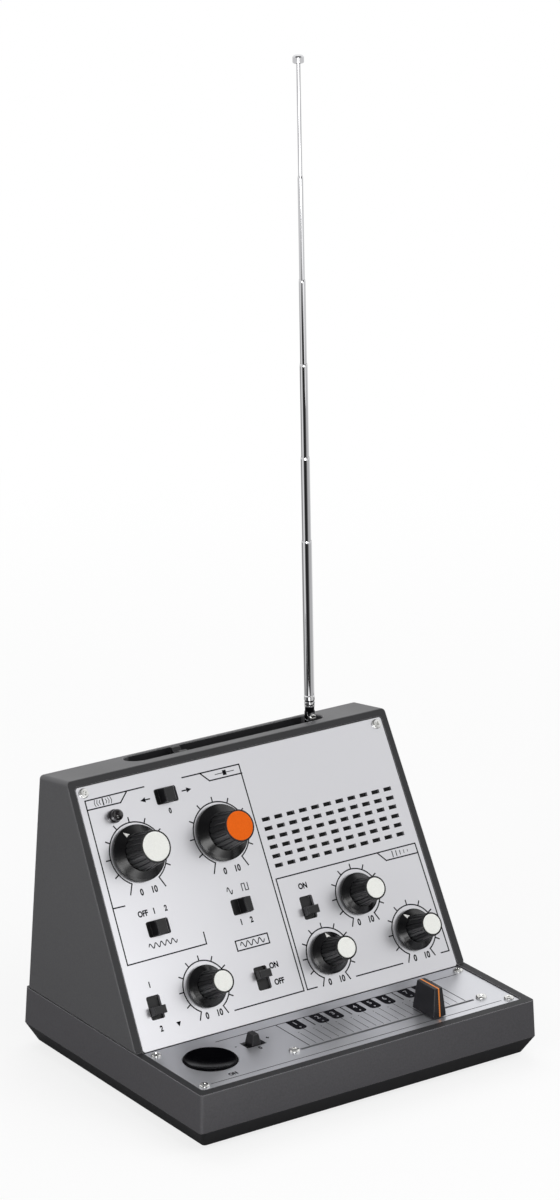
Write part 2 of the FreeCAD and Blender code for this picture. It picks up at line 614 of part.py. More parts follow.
# ---- Slide switches ---------------------------------------------------------------------------
SHIELD_GAP, SHIELD_THICK = 0.3, 0.7     # dust shield that rides under the panel
SHIELD_TOP = -PANEL_THICK - SHIELD_GAP
THREE_WAY_TRAVEL, TWO_WAY_TRAVEL = 2.5, 1.5   # each side of the slot's middle
OCTAVE_TRAVEL, POWER_TRAVEL = 2.5, 1.75


def is_three_way(name):
    return name in ("mix", "modulation")


def switch_travel(name):
    return THREE_WAY_TRAVEL if is_three_way(name) else TWO_WAY_TRAVEL


STEM_HALF, STEM_DROP = 0.9, 1.3         # the stub that works the contacts inside the case


def lever_shape(length, width, rise, shield_long, shield_wide, shield_top=SHIELD_TOP):
    """A block grip on a thin sliding shield with a stub below, travelling along x."""
    grip = box(-length / 2, length / 2, -width / 2, width / 2, shield_top - 0.1, rise)
    top_edges = edges_where(grip, lambda e: all(v.Z > rise - 0.01 for v in e.Vertexes))
    grip = grip.makeChamfer(0.35, top_edges)
    shield_foot = shield_top - SHIELD_THICK
    shield = box(-shield_long / 2, shield_long / 2, -shield_wide / 2, shield_wide / 2,
                 shield_foot, shield_top)
    return joined(grip, shield, stem(shield_foot))


def stem(top):
    return box(-STEM_HALF, STEM_HALF, -STEM_HALF, STEM_HALF, top - STEM_DROP, top)


def switch_case(half_long, half_wide, foot, shield_foot, travel):
    """A case under the shield, slotted for the stub."""
    top = shield_foot - 0.3
    case = box(-half_long, half_long, -half_wide, half_wide, foot, top)
    reach = travel + STEM_HALF + 0.3
    return case.cut(box(-reach, reach, -STEM_HALF - 0.3, STEM_HALF + 0.3,
                        shield_foot - STEM_DROP - 0.3, top + 1))


def switch_lever(name):
    x, up, length, width, offset, upright = SWITCHES[name]
    grip = LEVER_LONG if is_three_way(name) else LEVER_SHORT
    shield_long = length + 2 * switch_travel(name) + 2
    lever = lever_shape(grip, width - 0.6, LEVER_RISE, shield_long, width + 1.0)
    lever = placed(lever, offset, 0)
    turn = Rotation(Z_AXIS, 90 if upright else 0)
    return panel_piece(moved(lever, Placement(Vector(x, up, 0), turn)))


def octave_lever():
    """A tall wedge-sided grip."""
    foot, tip = (2.1, 2.7), (1.3, 2.2)
    low, high = -DECK_THICK - SHIELD_GAP, 4.7
    wires = []
    for (half_x, half_y), z in ((foot, low), (foot, 0.6), (tip, high)):
        wires.append(Part.makePolygon([Vector(a * half_x, b * half_y, z)
                                       for a, b in ((-1, -1), (1, -1), (1, 1), (-1, 1), (-1, -1))]))
    grip = Part.makeLoft(wires, True, True)
    shield = box(-8.0, 8.0, -3.6, 3.6, low - SHIELD_THICK, low)
    lever = joined(grip, shield, stem(low - SHIELD_THICK))
    return deck_piece(placed(lever, OCTAVE_X, OCTAVE_Y))


def power_lever():
    lever = lever_shape(3.4, 3.2, 1.6, 15, 5.0, -REAR_THICK - SHIELD_GAP)
    return rear_piece(placed(lever, POWER_X - POWER_TRAVEL, REAR_UP))


def slide_switch_cases():
    cases = []
    for name, (x, up, length, width, _, upright) in SWITCHES.items():
        case = switch_case(length / 2, width / 2, BOARD_TOP, SHIELD_TOP - SHIELD_THICK, switch_travel(name))
        turn = Rotation(Z_AXIS, 90 if upright else 0)
        cases.append(panel_piece(moved(case, Placement(Vector(x, up, 0), turn))))
    octave = switch_case(6, 3.5, DECK_BOARD_TOP, -DECK_THICK - SHIELD_GAP - SHIELD_THICK, OCTAVE_TRAVEL)
    cases.append(deck_piece(placed(octave, OCTAVE_X, OCTAVE_Y)))
    power = switch_case(6, 3, -8, -REAR_THICK - SHIELD_GAP - SHIELD_THICK, POWER_TRAVEL)
    feet = box(-6, 6, REAR_BOARD_UP - REAR_UP, -3, -8, -4)
    cases.append(rear_piece(placed(joined(power, feet), POWER_X, REAR_UP)))
    return group(cases)


# ---- Deck controls ----------------------------------------------------------------------------
DECK_BOARD_TOP = -9.6


def trigger_button():
    """A wide dished button with a retaining flange."""
    rim, dish = 0.7, 1.7
    sphere_radius = ((TRIGGER_RADIUS - 0.8) ** 2 + dish ** 2) / (2 * dish)
    body = turned([(0, -4.2), (TRIGGER_RADIUS - 2, -4.2), (TRIGGER_RADIUS - 2, -2.6),
                   (TRIGGER_RADIUS + 1.2, -2.6), (TRIGGER_RADIUS + 1.2, -1.4), (TRIGGER_RADIUS, -1.4),
                   (TRIGGER_RADIUS, rim - 0.3), (TRIGGER_RADIUS - 0.3, rim), (0, rim)])
    bowl = Part.makeSphere(sphere_radius, Vector(0, 0, rim - dish + sphere_radius))
    return deck_piece(placed(body.cut(bowl), TRIGGER_X, TRIGGER_Y))


def trigger_switch():
    case = box(-3, 3, -3, 3, DECK_BOARD_TOP, -6.4)
    stem = post(1.7, 0, 0, -6.5, -5.6)
    return deck_piece(placed(joined(case, stem), TRIGGER_X, TRIGGER_Y))


def fader_case():
    """A folded metal channel with a slot along its top."""
    x0, x1, half_y = -33.5, 74.5, 4.5
    top = -DECK_THICK
    case = box(x0, x1, FADER_Y - half_y, FADER_Y + half_y, DECK_BOARD_TOP, top)
    hollow = box(FADER_SLOT_START - 1.2, FADER_SLOT_END + 1.2, FADER_Y - half_y + 0.6,
                 FADER_Y + half_y - 0.6, DECK_BOARD_TOP + 0.6, top - 0.7)
    slot = box(FADER_SLOT_START, FADER_SLOT_END, FADER_Y - 0.9, FADER_Y + 0.9, top - 1, top + 1)
    holes = [post(1.5, x, FADER_Y, -6, top + 1) for x in FADER_SCREW_X]
    return deck_piece(case.cut(group([hollow, slot] + holes)))


def fader_slider():
    """The carriage inside the channel and the flat tongue that carries the cap."""
    carriage = box(-3.5, 3.5, -3.4, 3.4, -7.6, -2.4)
    tongue = box(-2.0, 2.0, -0.5, 0.5, -2.5, 5.0)
    return deck_piece(placed(joined(carriage, tongue), FADER_X, FADER_Y))


def fader_blank(grow, z0, z1):
    """The cap's tapering outline: (z, half width, half depth) from foot to crown."""
    steps = [(z0, 3.35, 7.6), (z0 + 1.6, 3.25, 7.45), (z1, 2.1, 6.3)]
    wires = []
    for z, half_x, half_y in steps:
        wires.append(rounded_rectangle(-half_x - grow, half_x + grow, -half_y - grow, half_y + grow, z, 0.5))
    return Part.makeLoft(wires, True, True)


FADER_CAP_FOOT, FADER_CAP_TOP, FADER_LINE = 0.7, 13.2, 0.7


def fader_cap():
    blank = fader_blank(0, FADER_CAP_FOOT, FADER_CAP_TOP)
    groove = fader_line_band()
    socket = box(-2.05, 2.05, -0.55, 0.55, FADER_CAP_FOOT - 1, 5.05)
    return deck_piece(placed(blank.cut(group([groove, socket])), FADER_X, FADER_Y))


def fader_line_band():
    """A thin band over the front, crown and back of the cap."""
    outer = fader_blank(0, FADER_CAP_FOOT, FADER_CAP_TOP)
    inner = box(-4, 4, -5.9, 5.9, FADER_CAP_FOOT - 1, FADER_CAP_TOP - 0.5)
    strip = box(-FADER_LINE / 2, FADER_LINE / 2, -10, 10, FADER_CAP_FOOT - 1, FADER_CAP_TOP + 1)
    return outer.common(strip).cut(inner)


def fader_cap_line():
    return deck_piece(placed(fader_line_band(), FADER_X, FADER_Y))


# ---- Behind the panel -------------------------------------------------------------------------
def status_led():
    """A domed lens in a low round collar, on two leads."""
    dome = Part.makeSphere(LED_RADIUS, Vector(LED_X, LED_UP, LED_SHOULDER))
    lens = post(LED_RADIUS, LED_X, LED_UP, -4.0, LED_SHOULDER).fuse(dome.common(
        box(LED_X - 4, LED_X + 4, LED_UP - 4, LED_UP + 4, LED_SHOULDER, LED_SHOULDER + 4)))
    collar = post(LED_COLLAR, LED_X, LED_UP, 0, LED_COLLAR_HIGH)
    leads = [box(x - 0.25, x + 0.25, LED_UP - 0.25, LED_UP + 0.25, BOARD_TOP, -3.9)
             for x in (LED_X - 1.27, LED_X + 1.27)]
    return panel_piece(joined(lens, collar, *leads))


CLOTH_THICK = 0.6
SPEAKER_TOP = -PANEL_THICK - CLOTH_THICK - 0.4   # the frame's rim, under the cone's


def grille_cloth():
    half = (GRILLE_COLUMNS - 1) * GRILLE_PITCH_X / 2 + GRILLE_SLOT / 2 + 0.8
    middle = GRILLE_X + (GRILLE_COLUMNS - 1) * GRILLE_PITCH_X / 2
    low = GRILLE_UP - (GRILLE_ROWS - 1) * GRILLE_PITCH_UP - 3
    return panel_piece(box(middle - half, middle + half, low, GRILLE_UP + 3,
                           -PANEL_THICK - CLOTH_THICK, -PANEL_THICK))


def speaker_basket():
    """A pressed frame with the magnet pot on the main board."""
    top, inner = SPEAKER_TOP, SPEAKER_RADIUS - 2.8
    shell = turned([(inner, top), (SPEAKER_RADIUS, top), (SPEAKER_RADIUS, top - 1.5),
                    (inner + 0.7, top - 1.9), (11.0, top - 4.5), (11.0, BOARD_TOP), (0, BOARD_TOP),
                    (0, top - 6.4), (5.0, top - 6.4), (inner, top - 1.4)], SPEAKER_X, SPEAKER_UP)
    return panel_piece(shell)


def speaker_cone():
    """The paper cone with its flat rim glued on the frame and a dome in the middle."""
    top, rim = SPEAKER_TOP, SPEAKER_RADIUS - 0.6
    cone = turned([(rim, top), (rim, top + 0.4), (16.2, top + 0.4), (15.6, top + 0.2), (4.2, top - 4.4),
                   (2.4, top - 3.6), (0, top - 3.3), (0, top - 3.8), (2.2, top - 4.1), (4.0, top - 5.0),
                   (15.6, top - 0.4), (16.6, top)], SPEAKER_X, SPEAKER_UP)
    return panel_piece(cone)


def main_board():
    return panel_piece(box(-72, 72, 8, 104, BOARD_TOP - BOARD_THICK, BOARD_TOP))


def deck_board():
    return deck_piece(box(-70, 73.4, DECK_FRONT + 5, DECK_BACK - 5, DECK_BOARD_TOP - BOARD_THICK,
                          DECK_BOARD_TOP))


def rear_sockets():
    """Two sockets behind the rear plate, each bored for a 3.5 mm plug behind a wider collar."""
    sockets = []
    mouth = -REAR_THICK - SOCKET_COLLAR
    for x in SOCKETS_X:
        body = box(x - 4, x + 4, REAR_BOARD_UP, REAR_UP + 4, mouth - SOCKET_DEPTH - 1.5, mouth)
        body = body.fuse(post(4.0, x, REAR_UP, mouth, -REAR_THICK))
        body = body.cut(group([post(SOCKET_RADIUS, x, REAR_UP, mouth - SOCKET_DEPTH, mouth),
                               post(3.3, x, REAR_UP, mouth, 0)]))
        sockets.append(rear_piece(body))
    return group(sockets)


def volume_axle(grow=0.0):
    """The stub under the thumb wheel, upright when the unit stands."""
    stub = post(1.5 + grow, 0, 0, -1.4, 3.4 + grow)
    upright = Placement(Vector(VOLUME_X, REAR_UP, -VOLUME_SINK), Rotation(X_AXIS, 90))
    return moved(stub, upright)


def volume_wheel():
    """A ribbed thumb wheel that stands partly out of the rear plate."""
    wire = []
    for i in range(24):
        for share, depth in ((0.1, 0.0), (0.5, 0.0), (0.7, 0.4), (0.9, 0.4)):
            angle = 2 * math.pi * (i + share) / 24
            reach = VOLUME_RADIUS - depth
            wire.append((reach * math.cos(angle), reach * math.sin(angle)))
    wheel = prism(wire, -1.4, 1.4)
    upright = Placement(Vector(VOLUME_X, REAR_UP, -VOLUME_SINK), Rotation(X_AXIS, 90))
    return rear_piece(joined(moved(wheel, upright), volume_axle()))


# ---- Aerial -----------------------------------------------------------------------------------
def aerial_piece(shape):
    """Local z runs up the rod from the pivot."""
    return moved(shape, Placement(PIVOT, Rotation(Y_AXIS, -AERIAL_LEAN)))


def tube_radius(section):
    return (TUBE_OUTER - TUBE_STEP * section) / 2


TONGUE_HALF, TONGUE_END = 1.2, 2.0      # half thickness, and the round end's radius
PIN_RADIUS, PIN_PLAY = 0.9, 0.06


def antenna_knuckle():
    """A flat tongue with the pivot hole, under a turned ferrule with three rings."""
    half, wide = TONGUE_HALF, TONGUE_END
    tongue = box(-wide, wide, -half, half, 0, 2.6)
    end = Part.makeCylinder(wide, 2 * half, Vector(0, -half, 0), Y_AXIS)
    bore = Part.makeCylinder(PIN_RADIUS + PIN_PLAY, 6, Vector(0, -3, 0), Y_AXIS)
    ferrule = turned([(0, 2.35), (2.1, 2.35), (2.1, 4.55), (2.3, 4.75), (2.3, 5.35), (2.05, 5.55),
                      (2.05, 5.85), (2.35, 6.1), (2.35, 6.95), (2.05, 7.2), (2.05, 7.5), (2.4, 7.85),
                      (2.4, 9.6), (2.25, 10.0), (2.03, 10.0), (2.03, 12.2), (0, 12.2)])
    return aerial_piece(joined(tongue.fuse(end).cut(bore), ferrule))


def antenna_tube(section):
    """One thin-walled tube; its end is rolled in to a round shoulder."""
    radius = tube_radius(section)
    top = TUBE_TOPS[section]
    bore = radius - TUBE_WALL
    if section == 0:
        foot = 10.0
    else:
        pushed_home = TUBE_TOPS[0] + TUBE_PROUD * section
        foot = top - (pushed_home - TUBE_ROOT)
    shoulder = [(radius - inward, top + rise) for inward, rise in TUBE_SHOULDER]
    return aerial_piece(turned([(bore, foot), (radius, foot)] + shoulder + [(bore, top)]))


def antenna_rod():
    section = len(TUBE_TOPS) - 1
    top = TUBE_TOPS[section]
    foot = top - (TUBE_TOPS[0] + TUBE_PROUD * section - TUBE_ROOT)
    return aerial_piece(post(tube_radius(section), 0, 0, foot, top))


def antenna_tip():
    top = TUBE_TOPS[-1]
    return aerial_piece(turned([(0, top), (TIP_RADIUS - 0.3, top), (TIP_RADIUS, top + 0.3),
                                (TIP_RADIUS, top + TIP_LENGTH - 0.6),
                                (TIP_RADIUS - 0.6, top + TIP_LENGTH), (0, top + TIP_LENGTH)]))


def antenna_bracket():
    """A round post with flat sides, slotted for the tongue, on a foot screwed to the trough's floor."""
    radius, flat, slot = 2.2, 2.0, TONGUE_HALF + 0.05
    rise = PIVOT.z - RECESS_FLOOR
    outline = box(-radius, radius, -flat, flat, 0, rise)
    crown = Part.makeCylinder(radius, 2 * flat, Vector(0, -flat, rise), Y_AXIS)
    stem = post(radius, 0, 0, 0, rise + radius).common(outline.fuse(crown))
    stem = stem.cut(group([box(-4, 4, -slot, slot, rise - TONGUE_END - 0.4, rise + 4),
                           Part.makeCylinder(PIN_RADIUS, 8, Vector(0, -4, rise), Y_AXIS)]))
    foot = box(-3.4, 3.4, -2.5, 2.5, 0, 1.0)
    return placed(joined(foot, stem), PIVOT.x, PIVOT.y, RECESS_FLOOR)


def antenna_pivot_pin():
    """A slotted screw through the post's two halves, its end peened over at the back."""
    profile = [(0, -2.85), (1.2, -2.85), (1.5, -2.6), (1.5, -2.0), (PIN_RADIUS, -2.0), (PIN_RADIUS, 2.0),
               (1.3, 2.0), (1.3, 2.5), (0, 2.5)]
    pin = moved(turned(profile), Placement(Vector(), Rotation(X_AXIS, -90)))
    slot = box(-3, 3, -3.0, -2.5, -0.22, 0.22)
    return placed(pin.cut(slot), PIVOT.x, PIVOT.y, PIVOT.z)


def antenna_clip():
    """A small cradle whose round seat takes the folded rod."""
    seat_radius, cheek, half_long = 2.5, 1.1, 2.0
    half_wide, rise = seat_radius + cheek, PIVOT.z - RECESS_FLOOR
    block = box(-half_long, half_long, -half_wide, half_wide, 0, rise - 0.8)
    seat = Part.makeCylinder(seat_radius, 10, Vector(-5, 0, rise), X_AXIS)
    return placed(block.cut(seat), CLIP_X, PIVOT.y, RECESS_FLOOR)


# ---- All pieces -------------------------------------------------------------------------------
def pieces():
    nodes = {
        "base_tray": base_tray(),
        "upper_housing": upper_housing(),
        "front_panel": front_panel(),
        "deck_panel": deck_panel(),
        "rear_plate": rear_plate(),
        "rear_board": rear_board(),
        "rubber_feet": rubber_feet(),
        "cover_screws": cover_screws(),
        "fader_screws": fader_screws(),
        "base_screws": base_screws(),
        "battery_door": battery_door(),
        "battery_cells": battery_cells(),
        "battery_contacts": battery_contacts(),
        "main_board": main_board(),
        "deck_board": deck_board(),
        "potentiometers": potentiometers(),
        "slide_switch_cases": slide_switch_cases(),
        "fader_case": fader_case(),
        "fader_slider": fader_slider(),
        "fader_cap": fader_cap(),
        "fader_cap_line": fader_cap_line(),
        "trigger_button": trigger_button(),
        "trigger_switch": trigger_switch(),
        "status_led": status_led(),
        "grille_cloth": grille_cloth(),
        "speaker_basket": speaker_basket(),
        "speaker_cone": speaker_cone(),
        "rear_sockets": rear_sockets(),
        "volume_wheel": volume_wheel(),
        "power_lever": power_lever(),
        "octave_lever": octave_lever(),
        "antenna_bracket": antenna_bracket(),
        "antenna_pivot_pin": antenna_pivot_pin(),
        "antenna_clip": antenna_clip(),
        "antenna_knuckle": antenna_knuckle(),
        "antenna_rod": antenna_rod(),
        "antenna_tip": antenna_tip(),
    }
    for section in range(len(TUBE_TOPS) - 1):
        nodes[f"antenna_tube_{section + 1}"] = antenna_tube(section)
    for name in KNOBS:
        nodes[f"{name}_knob"] = knob(name)
        nodes[f"{name}_knob_cap"] = knob_cap(name)
    for name in SWITCHES:
        nodes[f"{name}_lever"] = switch_lever(name)
    return nodes


os.makedirs("parts", exist_ok=True)
for node, shape in pieces().items():
    shape.exportStep(f"parts/{node}.step")
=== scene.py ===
import json
from math import atan2, cos, hypot, pi, radians, sin

import bmesh
import bpy
from mathutils import Matrix, Vector


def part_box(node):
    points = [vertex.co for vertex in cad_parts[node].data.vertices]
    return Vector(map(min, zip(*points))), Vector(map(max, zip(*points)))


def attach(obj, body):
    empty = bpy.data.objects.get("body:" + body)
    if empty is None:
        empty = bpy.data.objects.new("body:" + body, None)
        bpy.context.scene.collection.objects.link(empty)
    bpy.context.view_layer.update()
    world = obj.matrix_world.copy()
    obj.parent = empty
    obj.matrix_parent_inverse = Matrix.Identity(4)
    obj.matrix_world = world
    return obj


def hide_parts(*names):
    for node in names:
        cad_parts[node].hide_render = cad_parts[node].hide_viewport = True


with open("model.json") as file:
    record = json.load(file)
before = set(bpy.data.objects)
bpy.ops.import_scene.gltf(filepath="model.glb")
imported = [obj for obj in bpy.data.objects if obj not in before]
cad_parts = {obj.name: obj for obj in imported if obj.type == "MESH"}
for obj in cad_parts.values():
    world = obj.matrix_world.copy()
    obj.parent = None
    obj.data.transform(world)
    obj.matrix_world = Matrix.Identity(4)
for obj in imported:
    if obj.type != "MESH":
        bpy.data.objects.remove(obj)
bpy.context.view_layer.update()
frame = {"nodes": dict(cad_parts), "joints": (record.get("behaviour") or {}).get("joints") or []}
nodes = frame["nodes"]
joints = {joint["name"]: joint for joint in frame["joints"]}
mm = 0.001


# ---- Camera -------------------------------------------------------------------------------------
# A long lens from the player's left, a little above the top of the housing, with the whole rod in
# the upright frame.
def way_to(turn, height):
    """A unit vector out from the object: degrees of turn from the front, and of height."""
    turn, height = radians(turn), radians(height)
    return Vector((sin(turn) * cos(height), -cos(turn) * cos(height), sin(height)))


view_target = Vector((-5.3, -7.8, 206.2)) * mm
view_turn, view_height, view_roll = -34.78, 18.08, 0.09
view_distance, lens_length = 1.707, 124.3
view = (Matrix.Rotation(radians(view_turn), 3, "Z") @ Matrix.Rotation(radians(90 - view_height), 3, "X")
        @ Matrix.Rotation(radians(view_roll), 3, "Z"))
bpy.ops.object.camera_add(location=view_target + way_to(view_turn, view_height) * view_distance,
                          rotation=view.to_euler())
camera = bpy.context.object
camera.data.sensor_width = 36
camera.data.lens = lens_length
bpy.context.scene.camera = camera


# ---- Floor, surroundings and lamps --------------------------------------------------------------
# A pale table that keeps a soft shadow, in a white studio whose front, ceiling and high left are
# dimmer to glossy things. Broad soft lamps stand at the front right, at the left and above behind.
bpy.context.scene.view_settings.view_transform = "Standard"


def feed(tree, socket, value):
    """Links another node's output to the socket, or sets the socket to a plain value."""
    if isinstance(value, bpy.types.NodeSocket):
        tree.links.new(value, socket)
    else:
        socket.default_value = value


def combine(tree, operation, first, second):
    """What a math node makes of two sides; either may be a number."""
    node = tree.nodes.new("ShaderNodeMath")
    node.operation = operation
    feed(tree, node.inputs[0], first)
    feed(tree, node.inputs[1], second)
    return node.outputs[0]


def ramp(tree, value, start, end, low=0.0, high=1.0):
    """A smooth change from low at start to high at end."""
    node = tree.nodes.new("ShaderNodeMapRange")
    node.interpolation_type = "SMOOTHSTEP"
    for name, number in (("From Min", start), ("From Max", end), ("To Min", low), ("To Max", high)):
        node.inputs[name].default_value = number
    feed(tree, node.inputs["Value"], value)
    return node.outputs["Result"]


def measured(tree, operation, vector, other=None):
    """The number that a vector node gives, such as a length or a dot product."""
    node = tree.nodes.new("ShaderNodeVectorMath")
    node.operation = operation
    feed(tree, node.inputs[0], vector)
    if other is not None:
        feed(tree, node.inputs[1], other)
    return node.outputs["Value"]


def mixed(tree, share, first, second, kind="RGBA"):
    """Two colours, or with kind FLOAT two numbers, mixed by the share of the second."""
    node = tree.nodes.new("ShaderNodeMix")
    node.data_type = kind
    feed(tree, node.inputs["Factor"], share)
    feed(tree, node.inputs["A"], first)
    feed(tree, node.inputs["B"], second)
    return node.outputs["Result"]


def ray_kinds(tree):
    """Whether a ray comes straight from the camera, and whether it comes off gloss or through glass."""
    path_kind = tree.nodes.new("ShaderNodeLightPath")
    mirrored = combine(tree, "MAXIMUM", path_kind.outputs["Is Glossy Ray"],
                       path_kind.outputs["Is Transmission Ray"])
    return path_kind.outputs["Is Camera Ray"], mirrored


def surface_of(tree, share, first, second, end):
    """Two shaders, mixed by the share of the second, become the surface of a world or a material."""
    choice = tree.nodes.new("ShaderNodeMixShader")
    feed(tree, choice.inputs["Fac"], share)
    tree.links.new(first.outputs[0], choice.inputs[1])
    tree.links.new(second.outputs[0], choice.inputs[2])
    tree.links.new(choice.outputs[0], tree.nodes[end].inputs["Surface"])


# The dimmer parts of the studio: turn, height, the cosines at which each starts and is full, and
# how much is taken off.
studio_front = -16
dim_parts = ((studio_front, 0, 0.36, 0.86, 0.85), (0, 90, 0.72, 0.92, 0.85), (-57, 50, 0.86, 0.95, 0.92))
room_light = 0.42

room = bpy.data.worlds.new("room")
room.use_nodes = True
bpy.context.scene.world = room
tree = room.node_tree
seen, mirrored = ray_kinds(tree)
way = tree.nodes.new("ShaderNodeTexCoord").outputs["Generated"]
room_shade = 0.0
for turn, height, start, full, depth in dim_parts:
    towards = measured(tree, "DOT_PRODUCT", way, way_to(turn, height))
    room_shade = combine(tree, "MAXIMUM", room_shade, ramp(tree, towards, start, full, 0.0, depth))
lighting = tree.nodes["Background"]
lighting.inputs["Color"].default_value = (1.0, 1.0, 1.0, 1)
lighting.inputs["Strength"].default_value = room_light
looks = tree.nodes.new("ShaderNodeBackground")
looks.inputs["Color"].default_value = (1.0, 1.0, 1.0, 1)
shade_shown = combine(tree, "MULTIPLY", room_shade, mirrored)
feed(tree, looks.inputs["Strength"], combine(tree, "SUBTRACT", 1.0, shade_shown))
surface_of(tree, combine(tree, "MAXIMUM", seen, mirrored), lighting, looks, "World Output")

bpy.ops.mesh.primitive_plane_add(size=14, location=(0, 0, 0))
floor = bpy.context.object
floor.name = "floor"
paper = bpy.data.materials.new("paper")
paper.use_nodes = True
tree = paper.node_tree
matt = tree.nodes["Principled BSDF"]
matt.inputs["Roughness"].default_value = 0.9
matt.inputs["Specular IOR Level"].default_value = 0.1
seen, mirrored = ray_kinds(tree)
spot = tree.nodes.new("ShaderNodeTexCoord").outputs["Object"]
away = measured(tree, "LENGTH", spot)
paper_seen, paper_unseen = (0.86, 0.86, 0.86, 1), (0.25, 0.25, 0.25, 1)
feed(tree, matt.inputs["Base Color"], mixed(tree, seen, paper_unseen, paper_seen))

# What polished things show of the table: the studio's light and shade round about, by degrees from
# the front, one pale level from about a metre off, and a lit strip just ahead of the object.
studio_ring = ((-180, 0.5), (-150, 0.3), (-134, 0.3), (-120, 0.9), (-94, 1.0), (-80, 0.4), (-70, 0.06),
               (-50, 0.02), (-20, 0.03), (0, 0.08), (14, 0.4), (30, 0.65), (60, 0.55), (88, 0.8),
               (140, 1.0), (180, 0.5))
far_level, lit_level = 0.8, 3.6

# Metres from the object's middle between which each part of the table comes in or ends, and the
# cosines with the studio's front between which the lit strip comes in.
far_start, strip_start, strip_end = (0.95, 1.3), (0.10, 0.17), (0.26, 0.31)
shadow_end, mirror_start = (0.3, 0.9), (0.24, 0.3)
strip_ahead = (0.6, 0.85)
ground = tree.nodes.new("ShaderNodeSeparateXYZ")
tree.links.new(spot, ground.inputs[0])
turn = combine(tree, "ARCTAN2", ground.outputs["X"], combine(tree, "MULTIPLY", ground.outputs["Y"], -1.0))
round_about = tree.nodes.new("ShaderNodeValToRGB")
feed(tree, round_about.inputs["Fac"], combine(tree, "ADD", combine(tree, "DIVIDE", turn, 2 * pi), 0.5))
stops = round_about.color_ramp.elements
for degrees, level in studio_ring:
    place = (degrees + 180) / 360
    stop = stops[0] if place == 0 else stops[-1] if place == 1 else stops.new(place)
    stop.color = (level, level, level, 1)
faded = mixed(tree, ramp(tree, away, *far_start), round_about.outputs["Color"], far_level, "FLOAT")
ahead = combine(tree, "DIVIDE", measured(tree, "DOT_PRODUCT", spot, way_to(studio_front, 0)), away)
lit_band = combine(tree, "MULTIPLY", ramp(tree, away, *strip_start), ramp(tree, away, *strip_end, 1.0, 0.0))
lit_strip = combine(tree, "MULTIPLY", ramp(tree, ahead, *strip_ahead), lit_band)
glow = tree.nodes.new("ShaderNodeEmission")
table_shown = mixed(tree, lit_strip, faded, lit_level, "FLOAT")
feed(tree, glow.inputs["Strength"], mixed(tree, mirrored, 1.0, table_shown, "FLOAT"))

# The camera sees the glow with a share of matt paper, which keeps the shadow near the object. Polished
# things see the paper itself close by, and the glow further off.
seen_glow = combine(tree, "MULTIPLY", seen, ramp(tree, away, *shadow_end, 0.8, 1.0))
past_paper = combine(tree, "MAXIMUM", lit_strip, ramp(tree, away, *mirror_start))
mirrored_glow = combine(tree, "MULTIPLY", mirrored, past_paper)
surface_of(tree, combine(tree, "MAXIMUM", seen_glow, mirrored_glow), matt, glow, "Material Output")
floor.data.materials.append(paper)


def lamp(name, turn, height, distance, size, power, mirrors=False):
    """A flat soft lamp, size wide and tall, that faces the panel from a turn and a height."""
    aim = Vector((0, 0, 80 * mm))
    way = way_to(turn, height)
    bpy.ops.object.light_add(type="AREA", location=aim + way * distance)
    light = bpy.context.object
    light.name = name
    light.rotation_euler = way.to_track_quat("Z", "Y").to_euler()
    light.data.shape = "RECTANGLE"
    light.data.size, light.data.size_y = size
    light.data.energy = power
    light.visible_glossy = mirrors
    return light


lamp("front_right_lamp", turn=28, height=42, distance=1.6, size=(1.5, 1.5), power=11)
lamp("left_lamp", turn=-75, height=18, distance=1.8, size=(1.2, 1.2), power=12)
lamp("top_lamp", turn=160, height=65, distance=1.6, size=(1.1, 1.1), power=9)

# A small card close in front brightens the lower left of the polished panel.
card = lamp("panel_card", turn=12, height=24, distance=0.36, size=(0.16, 0.16), power=0.07, mirrors=True)
card.visible_camera = False

# A window low at the player's left, which shines only in polished things.
window = lamp("low_window", turn=-33, height=6.5, distance=1.3, size=(0.65, 0.45), power=4.6, mirrors=True)
window.visible_camera = False
window.visible_diffuse = False


# ---- Base tray ----------------------------------------------------------------------------------
# The shallow tray that everything stands in. It is moulded in charcoal ABS with a fine spark-eroded
# grain, and its lower edge is cut back so that it seems to float.
def colour(red, green, blue):
    """Screen values from 0 to 255 as the scene-linear values that a shader takes."""
    return tuple((v / 255 / 12.92) if v < 11 else ((v / 255 + 0.055) / 1.055) ** 2.4
                 for v in (red, green, blue)) + (1.0,)


def finish(name, shade, roughness, metallic=0.0):
    """A new material, with its node tree and its shader."""
    material = bpy.data.materials.new(name)
    material.use_nodes = True
    tree = material.node_tree
    shader = tree.nodes["Principled BSDF"]
    shader.inputs["Base Color"].default_value = shade
    shader.inputs["Roughness"].default_value = roughness
    shader.inputs["Metallic"].default_value = metallic
    return material, tree, shader


def noise(tree, grain, detail=2.0, stretch=(1, 1, 1)):
    """A cloudy pattern whose blobs measure about one grain in metres."""
    place = tree.nodes.new("ShaderNodeTexCoord")
    mapping = tree.nodes.new("ShaderNodeMapping")
    mapping.inputs["Scale"].default_value = stretch
    cloud = tree.nodes.new("ShaderNodeTexNoise")
    cloud.inputs["Scale"].default_value = 1 / grain
    cloud.inputs["Detail"].default_value = detail
    tree.links.new(place.outputs["Object"], mapping.inputs["Vector"])
    tree.links.new(mapping.outputs["Vector"], cloud.inputs["Vector"])
    return cloud.outputs["Fac"]


def between(tree, pattern, low, high):
    """The pattern's middle stretched over low to high."""
    spread = tree.nodes.new("ShaderNodeMapRange")
    spread.inputs["From Min"].default_value = 0.3
    spread.inputs["From Max"].default_value = 0.7
    spread.inputs["To Min"].default_value = low
    spread.inputs["To Max"].default_value = high
    tree.links.new(pattern, spread.inputs["Value"])
    return spread.outputs["Result"]


